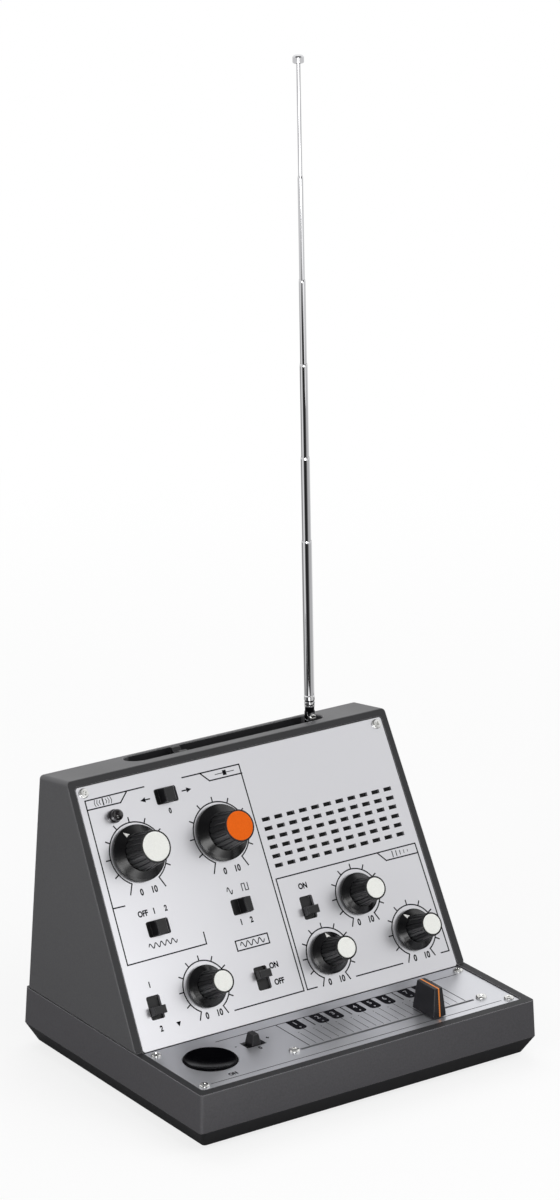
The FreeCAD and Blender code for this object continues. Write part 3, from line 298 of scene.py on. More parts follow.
def bumped(tree, shader, pattern, depth):
    """The pattern as relief of that depth in metres."""
    relief = tree.nodes.new("ShaderNodeBump")
    relief.inputs["Distance"].default_value = depth
    tree.links.new(pattern, relief.inputs["Height"])
    tree.links.new(relief.outputs["Normal"], shader.inputs["Normal"])


def tinted(tree, shader, pattern, dark, light):
    """The base colour runs from dark to light over the pattern."""
    feed(tree, shader.inputs["Base Color"], mixed(tree, between(tree, pattern, 0.0, 1.0), dark, light))


def moulded(name, dark, light, roughness, grain=0.45 * mm, depth=0.03 * mm, gloss=0.5):
    """Injection-moulded plastic with a fine grain, a faint cloudiness and wide patches of wear."""
    cloud_size, wear_size = 0.7 * mm, 40 * mm
    material, tree, shader = finish(name, light, roughness)
    shader.inputs["Specular IOR Level"].default_value = gloss
    bumped(tree, shader, noise(tree, grain, 3.0), depth)
    tinted(tree, shader, noise(tree, cloud_size, 4.0), dark, light)
    worn = noise(tree, wear_size, 3.0)
    feed(tree, shader.inputs["Roughness"], between(tree, worn, roughness - 0.04, roughness + 0.05))
    return material


def covered(tree, shader, share, shade):
    """Another shade over a share of a surface that has one already."""
    present = shader.inputs["Base Color"].links[0].from_socket
    feed(tree, shader.inputs["Base Color"], mixed(tree, share, present, shade))


def polished(material, dark, *ways):
    """Faces that look one of these ways are darkened by a painted shade, which stands in for shade and dim
    reflections.
    """
    tree = material.node_tree
    face = tree.nodes.new("ShaderNodeNewGeometry").outputs["True Normal"]
    share = 0.0
    for way, least in ways:
        towards = measured(tree, "DOT_PRODUCT", face, way)
        share = combine(tree, "MAXIMUM", share, ramp(tree, towards, least, least + 0.03))
    covered(tree, tree.nodes["Principled BSDF"], share, dark)


def softened(material, radius, light):
    """Mould edges that are a little round in shading, with a painted highlight that makes them lighter than
    the faces.
    """
    tree = material.node_tree
    shader = tree.nodes["Principled BSDF"]
    rounding = tree.nodes.new("ShaderNodeBevel")
    rounding.samples = 4
    rounding.inputs["Radius"].default_value = radius
    face = tree.nodes.new("ShaderNodeNewGeometry").outputs["True Normal"]
    across = measured(tree, "DOT_PRODUCT", rounding.outputs["Normal"], face)
    covered(tree, shader, ramp(tree, across, 0.99, 0.8), light)
    relief = shader.inputs["Normal"].links[0].from_node
    tree.links.new(rounding.outputs["Normal"], relief.inputs["Normal"])


def coat(material, *names):
    """Gives CAD nodes this material."""
    for name in names:
        nodes[name].data.materials.clear()
        nodes[name].data.materials.append(material)


# Painted shade: the grey that darkens faces according to the way they face.
edge_radius, painted_shade_grey = 0.6 * mm, colour(38, 38, 40)
tray_plastic = moulded("tray_plastic", colour(75, 74, 77), colour(83, 82, 85), 0.5,
                       depth=0.015 * mm, gloss=0.3)
# Painted shade and painted reflection: the tray's faces turned up, such as the rim's top, and its faces
# turned down, such as the lower chamfer, are darkened.
polished(tray_plastic, painted_shade_grey, ((0, 0, 1), 0.9), ((0, 0, -1), 0.3))
# Painted highlight along the tray's edges.
softened(tray_plastic, edge_radius, colour(150, 149, 152))
coat(tray_plastic, "base_tray")


# ---- Rubber feet --------------------------------------------------------------------------------
# Four black rubber pads, glued into the corners of the underside.
foot_rubber = moulded("foot_rubber", colour(24, 24, 25), colour(34, 34, 35), 0.8, grain=0.3 * mm)
coat(foot_rubber, "rubber_feet")


# ---- Upper housing ------------------------------------------------------------------------------
# The wedge is one charcoal moulding with soft back edges, a rebate for the metal panel and the long
# trough for the folded rod. It is screwed up from under the tray.
housing_plastic = moulded("housing_plastic", colour(77, 77, 79), colour(85, 85, 87), 0.44,
                          depth=0.015 * mm, gloss=0.45)
panel_normal = Vector(joints["level_turn"]["axis"])
# Painted shade: the rebate round the panel and the faces turned straight to the front, such as the trough's
# far wall, are darkened.
polished(housing_plastic, painted_shade_grey, (panel_normal, 0.95), ((0, -1, 0), 0.97))
# Painted highlight along the housing's edges.
softened(housing_plastic, edge_radius, colour(150, 150, 152))
coat(housing_plastic, "upper_housing")


# ---- Front panel --------------------------------------------------------------------------------
# A sheet of aluminium, 1.5 mm thick, with a smooth silver finish, punched for the knobs, the
# switches and the speaker, and let in flush with the housing's sloping face.
def satin_silver(name, shade, roughness, streak):
    """Silver with fine rolling lines from left to right."""
    line_width, line_depth = 0.25 * mm, 0.0002 * mm
    material, tree, shader = finish(name, shade, roughness, metallic=0.85)
    lines = noise(tree, line_width, 3.0, stretch=(0.02, 1, 1))
    feed(tree, shader.inputs["Roughness"], between(tree, lines, roughness - streak, roughness + streak))
    bumped(tree, shader, lines, line_depth)
    return material


panel_silver = satin_silver("panel_silver", colour(230, 230, 234), 0.3, 0.012)
coat(panel_silver, "front_panel")

# Places on the panel are measured across and up from the middle of its foot, which the level
# knob's axis gives.
knob_joints = {name: joints[name + "_turn"] for name in
               ("aerial_pitch", "slide_pitch", "decay", "level", "time", "feedback")}
across = Vector((1, 0, 0))
panel_up = panel_normal.cross(across)
level_across, level_up = 19.3 * mm, 19.5 * mm
panel_foot = Vector(knob_joints["level"]["pos_m"]) - level_across * across - level_up * panel_up
panel_place = Matrix((across, panel_up, panel_normal)).transposed().to_4x4()
panel_place.translation = panel_foot


# ---- Print on the panel -------------------------------------------------------------------------
# Silk-screened ink, dark grey: a frame round each group of controls, a scale round each knob, and
# plain numbers and signs. It is drawn flat, in millimetres across and up, then laid on the panel.
ink_line, ink_height = 0.55, 0.05
ink, ink_tree, ink_shader = finish("printing_ink", colour(24, 24, 28), 0.8)
ink_shader.inputs["Specular IOR Level"].default_value = 0.03
tinted(ink_tree, ink_shader, noise(ink_tree, 0.5 * mm), colour(20, 20, 24), colour(30, 30, 34))


def deselect():
    bpy.ops.object.select_all(action="DESELECT")


def stroke(start, end, width=ink_line):
    """One straight line of ink."""
    run, rise = end[0] - start[0], end[1] - start[1]
    bpy.ops.mesh.primitive_cube_add(size=1, location=((start[0] + end[0]) / 2, (start[1] + end[1]) / 2, 0),
                                    rotation=(0, 0, atan2(rise, run)))
    line = bpy.context.object
    line.scale = (hypot(run, rise) + width, width, ink_height)
    return line


def path(*points, width=ink_line):
    return [stroke(a, b, width) for a, b in zip(points, points[1:])]


def words(text, x, y, height=2.7, weight=0.14):
    """Plain figures or a short word, centred on a point."""
    narrow, capital_share = 0.82, 0.7
    bpy.ops.object.text_add(location=(x, y, 0))
    letters = bpy.context.object
    letters.data.body = text
    letters.data.align_x = "CENTER"
    letters.data.align_y = "CENTER"
    letters.data.size = height / capital_share
    letters.data.offset = weight
    letters.data.extrude = ink_height / 2
    letters.scale = (narrow, 1, 1)
    bpy.ops.object.convert(target="MESH")
    return bpy.context.object


def filled(*points):
    """A solid patch of ink with straight sides."""
    bpy.ops.mesh.primitive_circle_add(vertices=len(points), radius=1, fill_type="NGON", location=(0, 0, 0))
    patch = bpy.context.object
    for vertex, (x, y) in zip(patch.data.vertices, points):
        vertex.co = (x, y, -ink_height / 2)
    bpy.ops.object.mode_set(mode="EDIT")
    bpy.ops.mesh.select_all(action="SELECT")
    bpy.ops.mesh.extrude_region_move(TRANSFORM_OT_translate={"value": (0, 0, ink_height)})
    bpy.ops.mesh.select_all(action="SELECT")
    bpy.ops.mesh.normals_make_consistent(inside=False)
    bpy.ops.object.mode_set(mode="OBJECT")
    return patch


def wave(x, y, length, height, turns, square=False, width=0.4):
    """A sine or square wave drawn in short strokes."""
    steps = (4 if square else 12) * turns
    points = []
    for i in range(steps + 1):
        along = x - length / 2 + length * i / steps
        if square:
            rise = height / 2 if i // 2 % 2 == 0 else -height / 2
            if i % 2 == 0:
                points.append((along, y - rise))
            points.append((along, y + rise))
        else:
            points.append((along, y + height / 2 * sin(2 * pi * turns * i / steps)))
    return path(*points, width=width)


def joined(pieces, name):
    """One object from several, with its place in its mesh."""
    deselect()
    for piece in pieces:
        piece.select_set(True)
    bpy.context.view_layer.objects.active = pieces[0]
    bpy.ops.object.join()
    bpy.ops.object.transform_apply(location=True, rotation=True, scale=True)
    whole = bpy.context.object
    whole.name = name
    whole.data.name = name
    return whole


def printed(marks, name, place, material, lift=0.3):
    """Marks as one sheet of ink on a face, lifted by that share of their thickness."""
    sheet = joined(marks, name)
    sheet.data.transform(Matrix.Translation((0, 0, ink_height * lift)))
    sheet.data.transform(place @ Matrix.Scale(mm, 4))
    sheet.data.materials.clear()
    sheet.data.materials.append(material)
    return sheet


def scale_ring(radius):
    """The arc of a dial scale, open for 60 degrees at the bottom."""
    inner, outer = radius - ink_line / 2, radius + ink_line / 2
    bpy.ops.mesh.primitive_circle_add(vertices=120, radius=inner, location=(0, 0, -ink_height / 2))
    ring = bpy.context.object
    bpy.ops.object.mode_set(mode="EDIT")
    bpy.ops.mesh.select_all(action="SELECT")
    bpy.ops.mesh.extrude_edges_move()
    bpy.ops.transform.resize(value=(outer / inner, outer / inner, 1))
    mesh = bmesh.from_edit_mesh(ring.data)
    middles = {face: face.calc_center_median() for face in mesh.faces}
    gap = [face for face, middle in middles.items() if abs(atan2(middle.x, -middle.y)) < radians(30)]
    bmesh.ops.delete(mesh, geom=gap, context="FACES")
    bmesh.update_edit_mesh(ring.data)
    bpy.ops.mesh.select_all(action="SELECT")
    bpy.ops.mesh.extrude_region_move(TRANSFORM_OT_translate={"value": (0, 0, ink_height)})
    bpy.ops.mesh.select_all(action="SELECT")
    bpy.ops.mesh.normals_make_consistent(inside=False)
    bpy.ops.object.mode_set(mode="OBJECT")
    return ring


def dial_scale(x, y, radius, tail):
    """An arc over 300 degrees with nine ticks, and a slanting tail at each end."""
    ring = scale_ring(radius)
    ring.location.x, ring.location.y = x, y
    marks = [ring]
    tick_end = radius + 2.1
    tail_lean, tail_drop, tail_turn = tail * 0.42, tail * 0.9, radians(60)
    for step in range(1, 10):
        angle = radians(240 - 30 * step)
        marks.append(stroke((x + radius * cos(angle), y + radius * sin(angle)),
                            (x + tick_end * cos(angle), y + tick_end * sin(angle))))
    for side in (-1, 1):
        foot_x, foot_y = x + side * radius * cos(tail_turn), y - radius * sin(tail_turn)
        marks.append(stroke((foot_x, foot_y), (foot_x + side * tail_lean, foot_y - tail_drop)))
    return marks


knob_places = {}
for name, joint in knob_joints.items():
    from_foot = (Vector(joint["pos_m"]) - panel_foot) / mm
    knob_places[name] = (from_foot.dot(across), from_foot.dot(panel_up))
large_knobs = ("aerial_pitch", "slide_pitch")
panel_marks = []
for name, (x, y) in knob_places.items():
    scale_radius, tail, label_drop = (13.5, 4.7, 16.2) if name in large_knobs else (11.1, 3.6, 12.0)
    panel_marks += dial_scale(x, y, scale_radius, tail)
    panel_marks.append(words("0", x - 3.2, y - label_drop))
    panel_marks.append(words("10", x + 3.0, y - label_drop))

# The frames round the two pitch groups, the echo group and the vibrato sign.
panel_marks += path((-46.5, 107.2), (-75.8, 107.0), (-77.3, 36.4), (-37.8, 36.7), (-37.7, 41.7))
panel_marks += path((-75.5, 103.0), (-59.4, 103.0), (-55.2, 107.0))
panel_marks += path((-76.7, 60.7), (-71.0, 60.6))
panel_marks += path((-27.2, 107.2), (1.8, 107.2), (2.2, 6.9), (-33.3, 6.7))
panel_marks += path((-18.2, 107.2), (-14.5, 103.2), (2.0, 103.2))
panel_marks += path((9.0, 6.9), (4.0, 6.9), (4.0, 55.7), (77.6, 55.8), (79.2, 6.9), (75.0, 6.9))
panel_marks += path((29.7, 6.9), (54.2, 6.9))
panel_marks += path((57.3, 55.7), (60.8, 51.6), (77.8, 51.5))
panel_marks += path((-24.0, 34.6), (-7.7, 34.6), (-7.7, 30.3), (-24.0, 30.3), (-24.0, 34.6))

# Signs in place of names: an upright rod with its field, a slider, a shaking wave, and echoes that fade.
rod_x, rod_middle, slider_middle = -67.5, 105.1, 105.2
panel_marks += path((rod_x, rod_middle - 1.3), (rod_x, rod_middle + 1.3))
for side in (-1, 1):
    for i, reach in enumerate((1.4, 2.6, 3.8)):
        foot, bow = rod_x + side * reach, 0.9 + 0.25 * i
        panel_marks += path((foot, rod_middle - bow), (foot + side * 0.45, rod_middle),
                            (foot, rod_middle + bow), width=0.28)
panel_marks += path((-11.0, slider_middle), (-1.5, slider_middle), width=0.3)
panel_marks.append(filled((-7.2, slider_middle - 1.1), (-5.4, slider_middle - 1.1),
                          (-5.4, slider_middle + 1.1), (-7.2, slider_middle + 1.1)))
panel_marks += wave(-15.85, 32.45, 12.0, 2.2, 4)
for i in range(5):
    echo_x, half = 64.8 + 2.0 * i, 1.25 - 0.2 * i
    panel_marks += path((echo_x, 53.6 - half), (echo_x, 53.6 + half), width=0.42 - 0.05 * i)

# Round the switches: arrows, figures, wave signs, ON and OFF.
arrow_up, switch_figure = 101.7, 2.4
for tip, way in ((-50.0, 1), (-24.3, -1)):
    panel_marks.append(filled((tip, arrow_up), (tip + way * 2.5, arrow_up - 1.1),
                              (tip + way * 2.5, arrow_up + 1.1)))
    panel_marks.append(stroke((tip + way * 2.4, arrow_up), (tip + way * 4.6, arrow_up)))
panel_marks.append(words("0", -37.2, 94.7, 2.2))
for text, x, y in (("OFF", -63.6, 55.5), ("1", -58.0, 55.5), ("2", -52.2, 55.5), ("1", -18.4, 41.7),
                   ("2", -13.2, 41.7), ("1", -69.8, 26.2), ("2", -69.8, 7.4), ("ON", -8.8, 20.7),
                   ("OFF", -8.3, 13.5), ("ON", 16.0, 50.0)):
    panel_marks.append(words(text, x, y, switch_figure))
panel_marks += wave(-58.0, 41.6, 14.0, 2.0, 5)
panel_marks += wave(-19.8, 55.8, 2.6, 3.0, 1)
panel_marks += wave(-12.0, 56.0, 3.0, 3.0, 1, square=True)
panel_marks.append(filled((-62.3, 8.5), (-60.0, 8.5), (-61.15, 6.4)))

panel_print = printed(panel_marks, "panel_print", panel_place, ink)
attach(panel_print, "root")


# ---- Deck panel ---------------------------------------------------------------------------------
# The same silver sheet, lying flat in front, with a screw at each corner.
deck_silver = satin_silver("deck_silver", colour(220, 221, 226), 0.33, 0.01)
coat(deck_silver, "deck_panel")
deck_low, deck_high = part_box("deck_panel")
tray_front = deck_low.y - 4.2 * mm
deck_place = Matrix.Translation((0, tray_front, deck_high.z))


# ---- Print on the deck --------------------------------------------------------------------------
# The slider's scale is a small keyboard: white keys are the gaps between lines, black keys are
# rounded tabs with a figure. Plain lines run along the back and the front.
key_line, key_front, white_end, black_end, rear_line = 0.2, 17.4, 28.6, 32.2, 41.6
first_key, key_pitch = -16.0, 3.86
sharps = (1, 4, 6, 9, 11, 13, 16, 18)
deck_marks = []
deck_marks += path((-50.0, rear_line), (75.0, rear_line), width=0.4)
deck_marks += path((-74.5, 8.3), (74.0, 8.3), width=0.3)
deck_marks += path((-19.8, rear_line), (-19.8, 16.9), width=0.36)
deck_marks += path((61.3, rear_line), (61.3, 16.9), width=0.36)
for key in range(20):
    x = first_key + key_pitch * key
    deck_marks.append(stroke((x, key_front), (x, black_end if key in sharps else white_end), key_line))
    if key not in sharps:
        deck_marks.append(words("o", x, white_end + 1.6, 0.9, weight=0.0))
for x in (-5.8, 13.3, 40.4):
    deck_marks.append(stroke((x, 32.8), (x, rear_line), 0.5))


def black_key(x):
    """A tab with a square back and a rounded front."""
    front, rear, half, corner, corner_steps = 32.3, 41.4, 2.75, 1.9, 6
    points = [(x - half, rear), (x + half, rear)]
    for side, start in ((1, 0), (-1, -90)):
        for i in range(corner_steps + 1):
            angle = radians(start - 90 * i / corner_steps)
            points.append((x + side * (half - corner) + corner * cos(angle),
                           front + corner + corner * sin(angle)))
    return filled(*reversed(points))


for sharp in sharps:
    deck_marks.append(black_key(first_key + key_pitch * sharp))
deck_marks.append(words("-", -46.0, 33.0, 2.2))
deck_marks.append(words("+", -29.8, 33.0, 2.2))
deck_marks.append(words("0", -38.0, 26.3, 2.2))
deck_marks.append(words("ON", -61.7, 11.5, 2.2))
deck_print = printed(deck_marks, "deck_print", deck_place, ink)
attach(deck_print, "root")

# The figures on the black keys are left open in the ink, so the silver shows.
key_figures = []
for number, sharp in enumerate(sharps, 1):
    x = first_key + key_pitch * sharp
    key_figures.append(words(str(number), x, 38.2, 2.9, weight=0.06))
    key_figures.append(words("o", x, 34.4, 1.2, weight=0.12))
key_print = printed(key_figures, "key_print", deck_place, deck_silver, lift=0.8)
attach(key_print, "root")


# ---- Knobs --------------------------------------------------------------------------------------
# Black polished styrene: a bevelled skirt, a tapered ribbed grip and a coloured disc pressed into
# the top. Each is pushed on its potentiometer's shaft, and has a thin white pointer on its skirt.
# The steep ribs of the grips are less polished than the skirts.
knob_black, knob_tree, knob_shader = finish("knob_black", colour(10, 10, 12), 0.24)
knob_smear = between(knob_tree, noise(knob_tree, 9 * mm, 3.0), 0.2, 0.28)
knob_face = knob_tree.nodes.new("ShaderNodeNewGeometry").outputs["True Normal"]
upwards = measured(knob_tree, "DOT_PRODUCT", knob_face, panel_normal)
grip_matt = ramp(knob_tree, upwards, 0.35, 0.55, 0.18, 0.0)
feed(knob_tree, knob_shader.inputs["Roughness"], combine(knob_tree, "ADD", knob_smear, grip_matt))
bumped(knob_tree, knob_shader, noise(knob_tree, 1.2 * mm, 2.0), 0.004 * mm)
disc_white = moulded("disc_white", colour(239, 240, 235), colour(246, 247, 242), 0.4,
                     grain=0.5 * mm, depth=0.004 * mm, gloss=0.3)
disc_orange = moulded("disc_orange", colour(232, 98, 10), colour(240, 106, 18), 0.45,
                      grain=0.5 * mm, depth=0.004 * mm, gloss=0.1)
pointer_white = moulded("pointer_white", colour(205, 205, 202), colour(222, 222, 219), 0.5,
                        grain=0.3 * mm)


def skirt_pointer(tip, heel, brow, grip_foot, shoulder):
    """A thin white kite on the skirt, which rises from its brow to its shoulder at the grip."""
    half, notch, brow_height, sink = 0.95, 0.2, 2.3, 0.03
    cone_slope, bevel_slope = (shoulder - brow_height) / (brow - grip_foot - 0.3), 0.67
    brow_half = half * max(tip - brow, 0) / (tip - heel)
    corners = ((tip, 0), (brow, brow_half), (heel, half), (heel + notch, 0), (heel, -half),
               (brow, -brow_half))
    bpy.ops.mesh.primitive_circle_add(vertices=len(corners), radius=1, fill_type="NGON", location=(0, 0, 0))
    pointer = bpy.context.object
    for vertex, (reach, side) in zip(pointer.data.vertices, corners):
        inwards = brow - hypot(reach, side)
        slope = cone_slope if inwards > 0 else bevel_slope
        vertex.co = (reach, side, brow_height - sink + inwards * slope)
    bpy.ops.object.mode_set(mode="EDIT")
    bpy.ops.mesh.select_all(action="SELECT")
    bpy.ops.mesh.extrude_region_move(TRANSFORM_OT_translate={"value": (0.05, 0, 0.12)})
    bpy.ops.mesh.select_all(action="SELECT")
    bpy.ops.mesh.normals_make_consistent(inside=False)
    bpy.ops.object.mode_set(mode="OBJECT")
    return pointer


def grip_rim(cap, grip_top):
    """The smooth rim round the coloured disc, with its upper edge broken."""
    wall, depth, drop, edge = 0.72, 0.55, 0.24, 0.12
    deselect()
    bpy.ops.mesh.primitive_cylinder_add(vertices=72, radius=cap + wall, depth=depth,
                                        location=(0, 0, grip_top - drop))
    rim = bpy.context.object
    bpy.ops.object.transform_apply(location=True, rotation=False, scale=False)
    bpy.ops.object.mode_set(mode="EDIT")
    for face in bmesh.from_edit_mesh(rim.data).faces:
        face.select_set(face.normal.z > 0.9)
    bpy.ops.mesh.bevel(offset=edge, segments=2, affect="EDGES")
    bpy.ops.object.mode_set(mode="OBJECT")
    return rim


# The pointers' turns in degrees from the right. In the loop, a knob's radii and its heights over the
# panel, in millimetres.
pointer_turns = {"aerial_pitch": 120, "slide_pitch": 40, "decay": 40, "level": 91,
                 "time": 35, "feedback": 119}
for name, (x, y) in knob_places.items():
    coat(knob_black, name + "_knob")
    coat(disc_orange if name == "slide_pitch" else disc_white, name + "_knob_cap")
    if name in large_knobs:
        skirt, grip_foot, shoulder, cap, grip_top = 12.2, 8.2, 4.4, 6.3, 16.1
        tip, heel = skirt - 0.92, skirt - 3.2
    else:
        skirt, grip_foot, shoulder, cap, grip_top = 9.05, 6.05, 3.9, 4.4, 14.9
        tip, heel = skirt - 0.3, skirt - 2.5
    knob_place = panel_place @ Matrix.Scale(mm, 4) @ Matrix.Translation((x, y, 0))
    turn = Matrix.Rotation(radians(pointer_turns[name]), 4, "Z")

    pointer = skirt_pointer(tip, heel, skirt - 0.9, grip_foot, shoulder)
    pointer.name = name + "_pointer"
    pointer.data.transform(knob_place @ turn)
    pointer.data.materials.append(pointer_white)
    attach(pointer, name + "_dial")

    rim = grip_rim(cap, grip_top)
    rim.name = name + "_grip_rim"
    rim.data.transform(knob_place)
    rim.data.materials.append(knob_black)
    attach(rim, name + "_dial")


# ---- Slide switches -----------------------------------------------------------------------------
# Black moulded levers on sliding dust shields, over plated steel cases that are soldered behind.
lever_black = moulded("lever_black", colour(16, 16, 18), colour(24, 24, 26), 0.36,
                      grain=0.3 * mm, depth=0.01 * mm)
# Painted highlight along the levers' edges.
softened(lever_black, 0.3 * mm, colour(105, 105, 108))
switch_names = ("mix", "modulation", "waveform", "drone", "vibrato", "delay", "octave", "power")
coat(lever_black, *(name + "_lever" for name in switch_names))
plated_steel, plate_tree, plate_shader = finish("plated_steel", colour(190, 190, 186), 0.38, metallic=1.0)
bumped(plate_tree, plate_shader, noise(plate_tree, 0.6 * mm, 3.0), 0.004 * mm)
coat(plated_steel, "slide_switch_cases", "potentiometers", "fader_case", "battery_contacts")


# ---- Slider -------------------------------------------------------------------------------------
# A tall black cap with an orange line over it, pressed on the steel tongue of the carriage.
coat(lever_black, "fader_slider")
cap_black = moulded("cap_black", colour(20, 20, 24), colour(29, 29, 33), 0.38,
                    grain=0.3 * mm, depth=0.008 * mm, gloss=0.4)
coat(cap_black, "fader_cap")
line_orange = moulded("line_orange", colour(224, 128, 48), colour(236, 140, 60), 0.45,
                      grain=0.3 * mm)
coat(line_orange, "fader_cap_line")


# ---- Trigger button -----------------------------------------------------------------------------
# A wide polished black button with a dished face, on a small switch under the deck.
button_gloss, button_tree, button_shader = finish("button_gloss", colour(4, 4, 6), 0.2)
button_shader.inputs["Specular IOR Level"].default_value = 0.05
button_smear = noise(button_tree, 6 * mm, 3.0)
feed(button_tree, button_shader.inputs["Roughness"], between(button_tree, button_smear, 0.12, 0.2))
coat(button_gloss, "trigger_button")
coat(lever_black, "trigger_switch")


# ---- Indicator ----------------------------------------------------------------------------------
# A smoked lens, dark until it lights, on a dark grey collar.
lens_shade, collar_shade, collar_rise = colour(22, 19, 21), colour(50, 48, 51), 1.3 * mm
smoked, smoke_tree, smoke_shader = finish("smoked_lens", lens_shade, 0.1)
smoke_shader.inputs["Coat Weight"].default_value = 0.4
smoke_place = smoke_tree.nodes.new("ShaderNodeTexCoord").outputs["Object"]
outwards = measured(smoke_tree, "DOT_PRODUCT", smoke_place, panel_normal)
collar_top = panel_foot.dot(panel_normal) + collar_rise
over_collar = ramp(smoke_tree, combine(smoke_tree, "SUBTRACT", outwards, collar_top), 0.0, 0.2 * mm)
feed(smoke_tree, smoke_shader.inputs["Base Color"],
     mixed(smoke_tree, over_collar, collar_shade, lens_shade))
lens_smear = between(smoke_tree, noise(smoke_tree, 2 * mm), 0.07, 0.14)
feed(smoke_tree, smoke_shader.inputs["Roughness"], lens_smear)
coat(smoked, "status_led")


# ---- Loudspeaker --------------------------------------------------------------------------------
# A 40 mm speaker behind black cloth, under the grille of punched slots.
thread = 2.2 * mm
cloth, cloth_tree, cloth_shader = finish("speaker_cloth", colour(22, 22, 23), 0.9)
weave = cloth_tree.nodes.new("ShaderNodeTexWave")
weave.inputs["Scale"].default_value = 1 / thread
feed(cloth_tree, weave.inputs["Vector"], cloth_tree.nodes.new("ShaderNodeTexCoord").outputs["Object"])
bumped(cloth_tree, cloth_shader, weave.outputs["Fac"], 0.1 * mm)
coat(cloth, "grille_cloth", "speaker_cone")
basket_black = moulded("basket_black", colour(40, 40, 42), colour(52, 52, 54), 0.4)
coat(basket_black, "speaker_basket")


# ---- Rear plate, sockets, volume and power ------------------------------------------------------
# A black moulded plate let into the housing's back, with two plug sockets, the power switch and a
# ribbed volume wheel. Their signs are printed in white.
coat(lever_black, "rear_plate", "rear_sockets", "volume_wheel")
volume_joint = joints["volume_turn"]
volume_across, volume_up, volume_depth = 26 * mm, 26 * mm, 5.8 * mm
rear_across, rear_up = Vector((-1, 0, 0)), Vector(volume_joint["axis"])
rear_normal = rear_across.cross(rear_up)
rear_place = Matrix((rear_across, rear_up, rear_normal)).transposed().to_4x4()
rear_place.translation = (Vector(volume_joint["pos_m"]) - volume_across * rear_across
                          - volume_up * rear_up + volume_depth * rear_normal)
rear_marks = []
label_up, sign_up = 29.8, 33.2
for text, x in (("OFF", -0.9), ("ON", 12.9), ("0", 16.6), ("10", 35.2)):
    rear_marks.append(words(text, x, label_up, 2.0))
for socket_x, strokes in ((-30.0, 5), (-14.0, 3)):
    for i in range(strokes):
        x, half = socket_x - 1.6 + 1.1 * i, 0.5 + 0.45 * i
        rear_marks += path((x, sign_up - half), (x, sign_up + half), width=0.3)
rear_print = printed(rear_marks, "rear_print", rear_place, pointer_white)
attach(rear_print, "root")


# ---- Screws -------------------------------------------------------------------------------------
# Nickel-plated steel pan heads with a cross recess: M2.5 in the panel, the deck and the back, M3 in
# the slider's channel, and self-tapping ones in wells under the tray.
screw_steel, screw_tree, screw_shader = finish("screw_steel", colour(228, 228, 226), 0.16, metallic=1.0)
bumped(screw_tree, screw_shader, noise(screw_tree, 0.5 * mm, 3.0), 0.002 * mm)
coat(screw_steel, "antenna_pivot_pin")


def pick_faces(mesh, test):
    bpy.ops.mesh.select_all(action="DESELECT")
    for face in mesh.faces:
        face.select_set(test(face))


def enter_faces(piece, test):
    """Edit mode, with only the faces picked that pass the test."""
    deselect()
    piece.select_set(True)
    bpy.context.view_layer.objects.active = piece
    bpy.ops.object.mode_set(mode="EDIT")
    bpy.ops.mesh.select_mode(type="FACE")
    pick_faces(bmesh.from_edit_mesh(piece.data), test)


def cross_screw(head, rise, shank, length):
    """A pan head on z = 0 with its shank below, in millimetres."""
    crown, taper = rise * 0.62, 0.86
    slot_long, slot_wide, slot_deep = head * 1.12, head * 0.24, rise * 1.3
    deselect()
    bpy.ops.mesh.primitive_cylinder_add(vertices=40, radius=head, depth=rise, location=(0, 0, rise / 2))
    screw = bpy.context.object
    bpy.ops.object.transform_apply(location=True, rotation=False, scale=False)
    enter_faces(screw, lambda face: face.normal.z > 0.9)
    bpy.ops.mesh.bevel(offset=crown, segments=5, profile=0.5, affect="EDGES")
    pick_faces(bmesh.from_edit_mesh(screw.data), lambda face: face.normal.z < -0.9)
    bpy.ops.mesh.inset(thickness=head - shank)
    bpy.ops.mesh.extrude_region_move(TRANSFORM_OT_translate={"value": (0, 0, -length)})
    bpy.ops.transform.resize(value=(taper, taper, 1))
    bpy.ops.object.mode_set(mode="OBJECT")
    bpy.ops.mesh.primitive_cube_add(size=1, location=(0, 0, rise))
    driver = bpy.context.object
    driver.scale = (slot_long, slot_wide, slot_deep)
    bpy.ops.object.transform_apply(location=False, rotation=False, scale=True)
    enter_faces(driver, lambda face: face.normal.z < -0.9)
    bpy.ops.transform.resize(value=(0.62, 0.7, 1))
    bpy.ops.object.mode_set(mode="OBJECT")
    for turn in (0, pi / 2):
        driver.rotation_euler.z = turn
        bpy.context.view_layer.update()
        cut = screw.modifiers.new("recess", "BOOLEAN")
        cut.operation = "DIFFERENCE"
        cut.solver = "EXACT"
        cut.object = driver
        bpy.context.view_layer.objects.active = screw
        bpy.ops.object.modifier_apply(modifier=cut.name)
    bpy.data.objects.remove(driver)
    return screw


def driven_in(screw, places, name):
    """A copy of the screw at every place, as one piece in the stead of the CAD node."""
    copies = []
    for place, turn in places:
        copy = screw.copy()
        copy.data = screw.data.copy()
        bpy.context.collection.objects.link(copy)
        copy.data.transform(place @ Matrix.Scale(mm, 4) @ Matrix.Rotation(radians(turn), 4, "Z"))
        copies.append(copy)
    bpy.data.objects.remove(screw)
    whole = joined(copies, name + "_crossed")
    whole.data.materials.clear()
    whole.data.materials.append(screw_steel)
    bpy.ops.object.shade_smooth_by_angle(angle=radians(32))
    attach(whole, "root")
    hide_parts(name)


def at(place, x, y):
    return place @ Matrix.Translation(Vector((x, y, 0)) * mm)


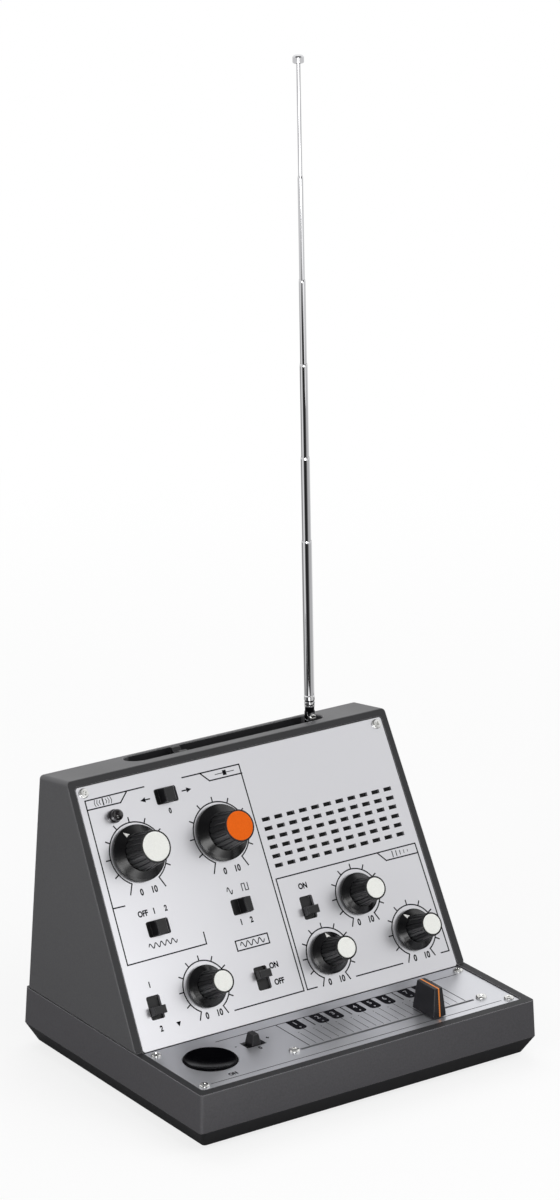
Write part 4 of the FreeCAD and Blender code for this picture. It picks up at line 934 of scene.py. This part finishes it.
# Each screw has stopped at a turn of its own, in degrees.
well_seat, head_down = 5.1 * mm, Matrix.Rotation(pi, 4, "X")
tray_place = Matrix.Translation((0, tray_front, well_seat))
driven_in(cross_screw(head=2.2, rise=1.0, shank=1.2, length=6.0),
          [(at(panel_place, -75.4, 110.3), 20), (at(panel_place, 75.4, 110.3), 58),
           (at(rear_place, -42.5, 26.0), 12), (at(rear_place, 42.5, 26.0), 40),
           (at(deck_place, -78.1, 8.1), 35), (at(deck_place, 78.1, 8.1), 8),
           (at(deck_place, -78.1, 44.1), 62), (at(deck_place, 78.1, 44.1), 25)], "cover_screws")
driven_in(cross_screw(head=2.4, rise=1.1, shank=1.4, length=3.8),
          [(at(deck_place, -28.3, 15.6), 15), (at(deck_place, 69.0, 15.6), 50)], "fader_screws")
driven_in(cross_screw(head=2.8, rise=1.4, shank=1.2, length=14.0),
          [(at(tray_place, -76.6, 70) @ head_down, 10), (at(tray_place, 76.6, 70) @ head_down, 44),
           (at(tray_place, -76.6, 108) @ head_down, 71), (at(tray_place, 76.6, 108) @ head_down, 30)],
          "base_screws")


# ---- Circuit boards -----------------------------------------------------------------------------
# Green solder-masked glass-fibre sheets.
board_green = moulded("board_green", colour(18, 84, 48), colour(26, 104, 60), 0.35,
                      grain=0.4 * mm, depth=0.01 * mm)
coat(board_green, "main_board", "deck_board", "rear_board")


# ---- Battery bay --------------------------------------------------------------------------------
# A plain lid over four AA cells and their sprung contacts.
coat(tray_plastic, "battery_door")
cell_wrap, wrap_tree, wrap_shader = finish("cell_wrap", colour(44, 60, 74), 0.35, metallic=0.2)
tinted(wrap_tree, wrap_shader, noise(wrap_tree, 6 * mm), colour(38, 54, 68), colour(52, 68, 82))
coat(cell_wrap, "battery_cells")


# ---- Aerial -------------------------------------------------------------------------------------
# Chromed brass tubes drawn out of each other, on a turned ferrule and tongue that fold in a slotted
# round post down in the trough. A moulded cradle holds the end of the folded rod.
chrome, chrome_tree, chrome_shader = finish("chrome", colour(215, 215, 217), 0.04, metallic=1.0)
drawn = noise(chrome_tree, 0.8 * mm, 3.0, stretch=(1, 1, 0.05))
feed(chrome_tree, chrome_shader.inputs["Roughness"], between(chrome_tree, drawn, 0.03, 0.06))
coat(chrome, "antenna_bracket", "antenna_tip", "antenna_rod",
     *(f"antenna_tube_{i}" for i in range(1, 6)))
coat(lever_black, "antenna_clip")

# The ferrule's turned grooves are darkened with painted shade, so its colour goes by the distance from the
# rod's axis.
groove_radius, ring_radius = 2.14 * mm, 2.24 * mm
painted_groove_shade, ring_shade = colour(46, 46, 50), colour(235, 235, 236)
aerial_joint = joints["aerial_fold"]
lean = aerial_joint["range_deg"][0]
ferrule, ferrule_tree, ferrule_shader = finish("ferrule", ring_shade, 0.05, metallic=1.0)
along_rod = ferrule_tree.nodes.new("ShaderNodeMapping")
along_rod.vector_type = "TEXTURE"
along_rod.inputs["Location"].default_value = aerial_joint["pos_m"]
along_rod.inputs["Rotation"].default_value = (0, radians(lean), 0)
across_rod = ferrule_tree.nodes.new("ShaderNodeVectorMath")
across_rod.operation = "MULTIPLY"
across_rod.inputs[1].default_value = (1, 1, 0)
ferrule_place = ferrule_tree.nodes.new("ShaderNodeTexCoord").outputs["Object"]
feed(ferrule_tree, along_rod.inputs["Vector"], ferrule_place)
feed(ferrule_tree, across_rod.inputs[0], along_rod.outputs["Vector"])
from_axis = measured(ferrule_tree, "LENGTH", across_rod.outputs["Vector"])
# Painted shade: inside the grooves the chrome turns dark grey.
on_rings = ramp(ferrule_tree, from_axis, groove_radius, ring_radius)
feed(ferrule_tree, ferrule_shader.inputs["Base Color"],
     mixed(ferrule_tree, on_rings, painted_groove_shade, ring_shade))
ferrule_smear = between(ferrule_tree, noise(ferrule_tree, 0.8 * mm), 0.04, 0.1)
feed(ferrule_tree, ferrule_shader.inputs["Roughness"], ferrule_smear)
coat(ferrule, "antenna_knuckle")
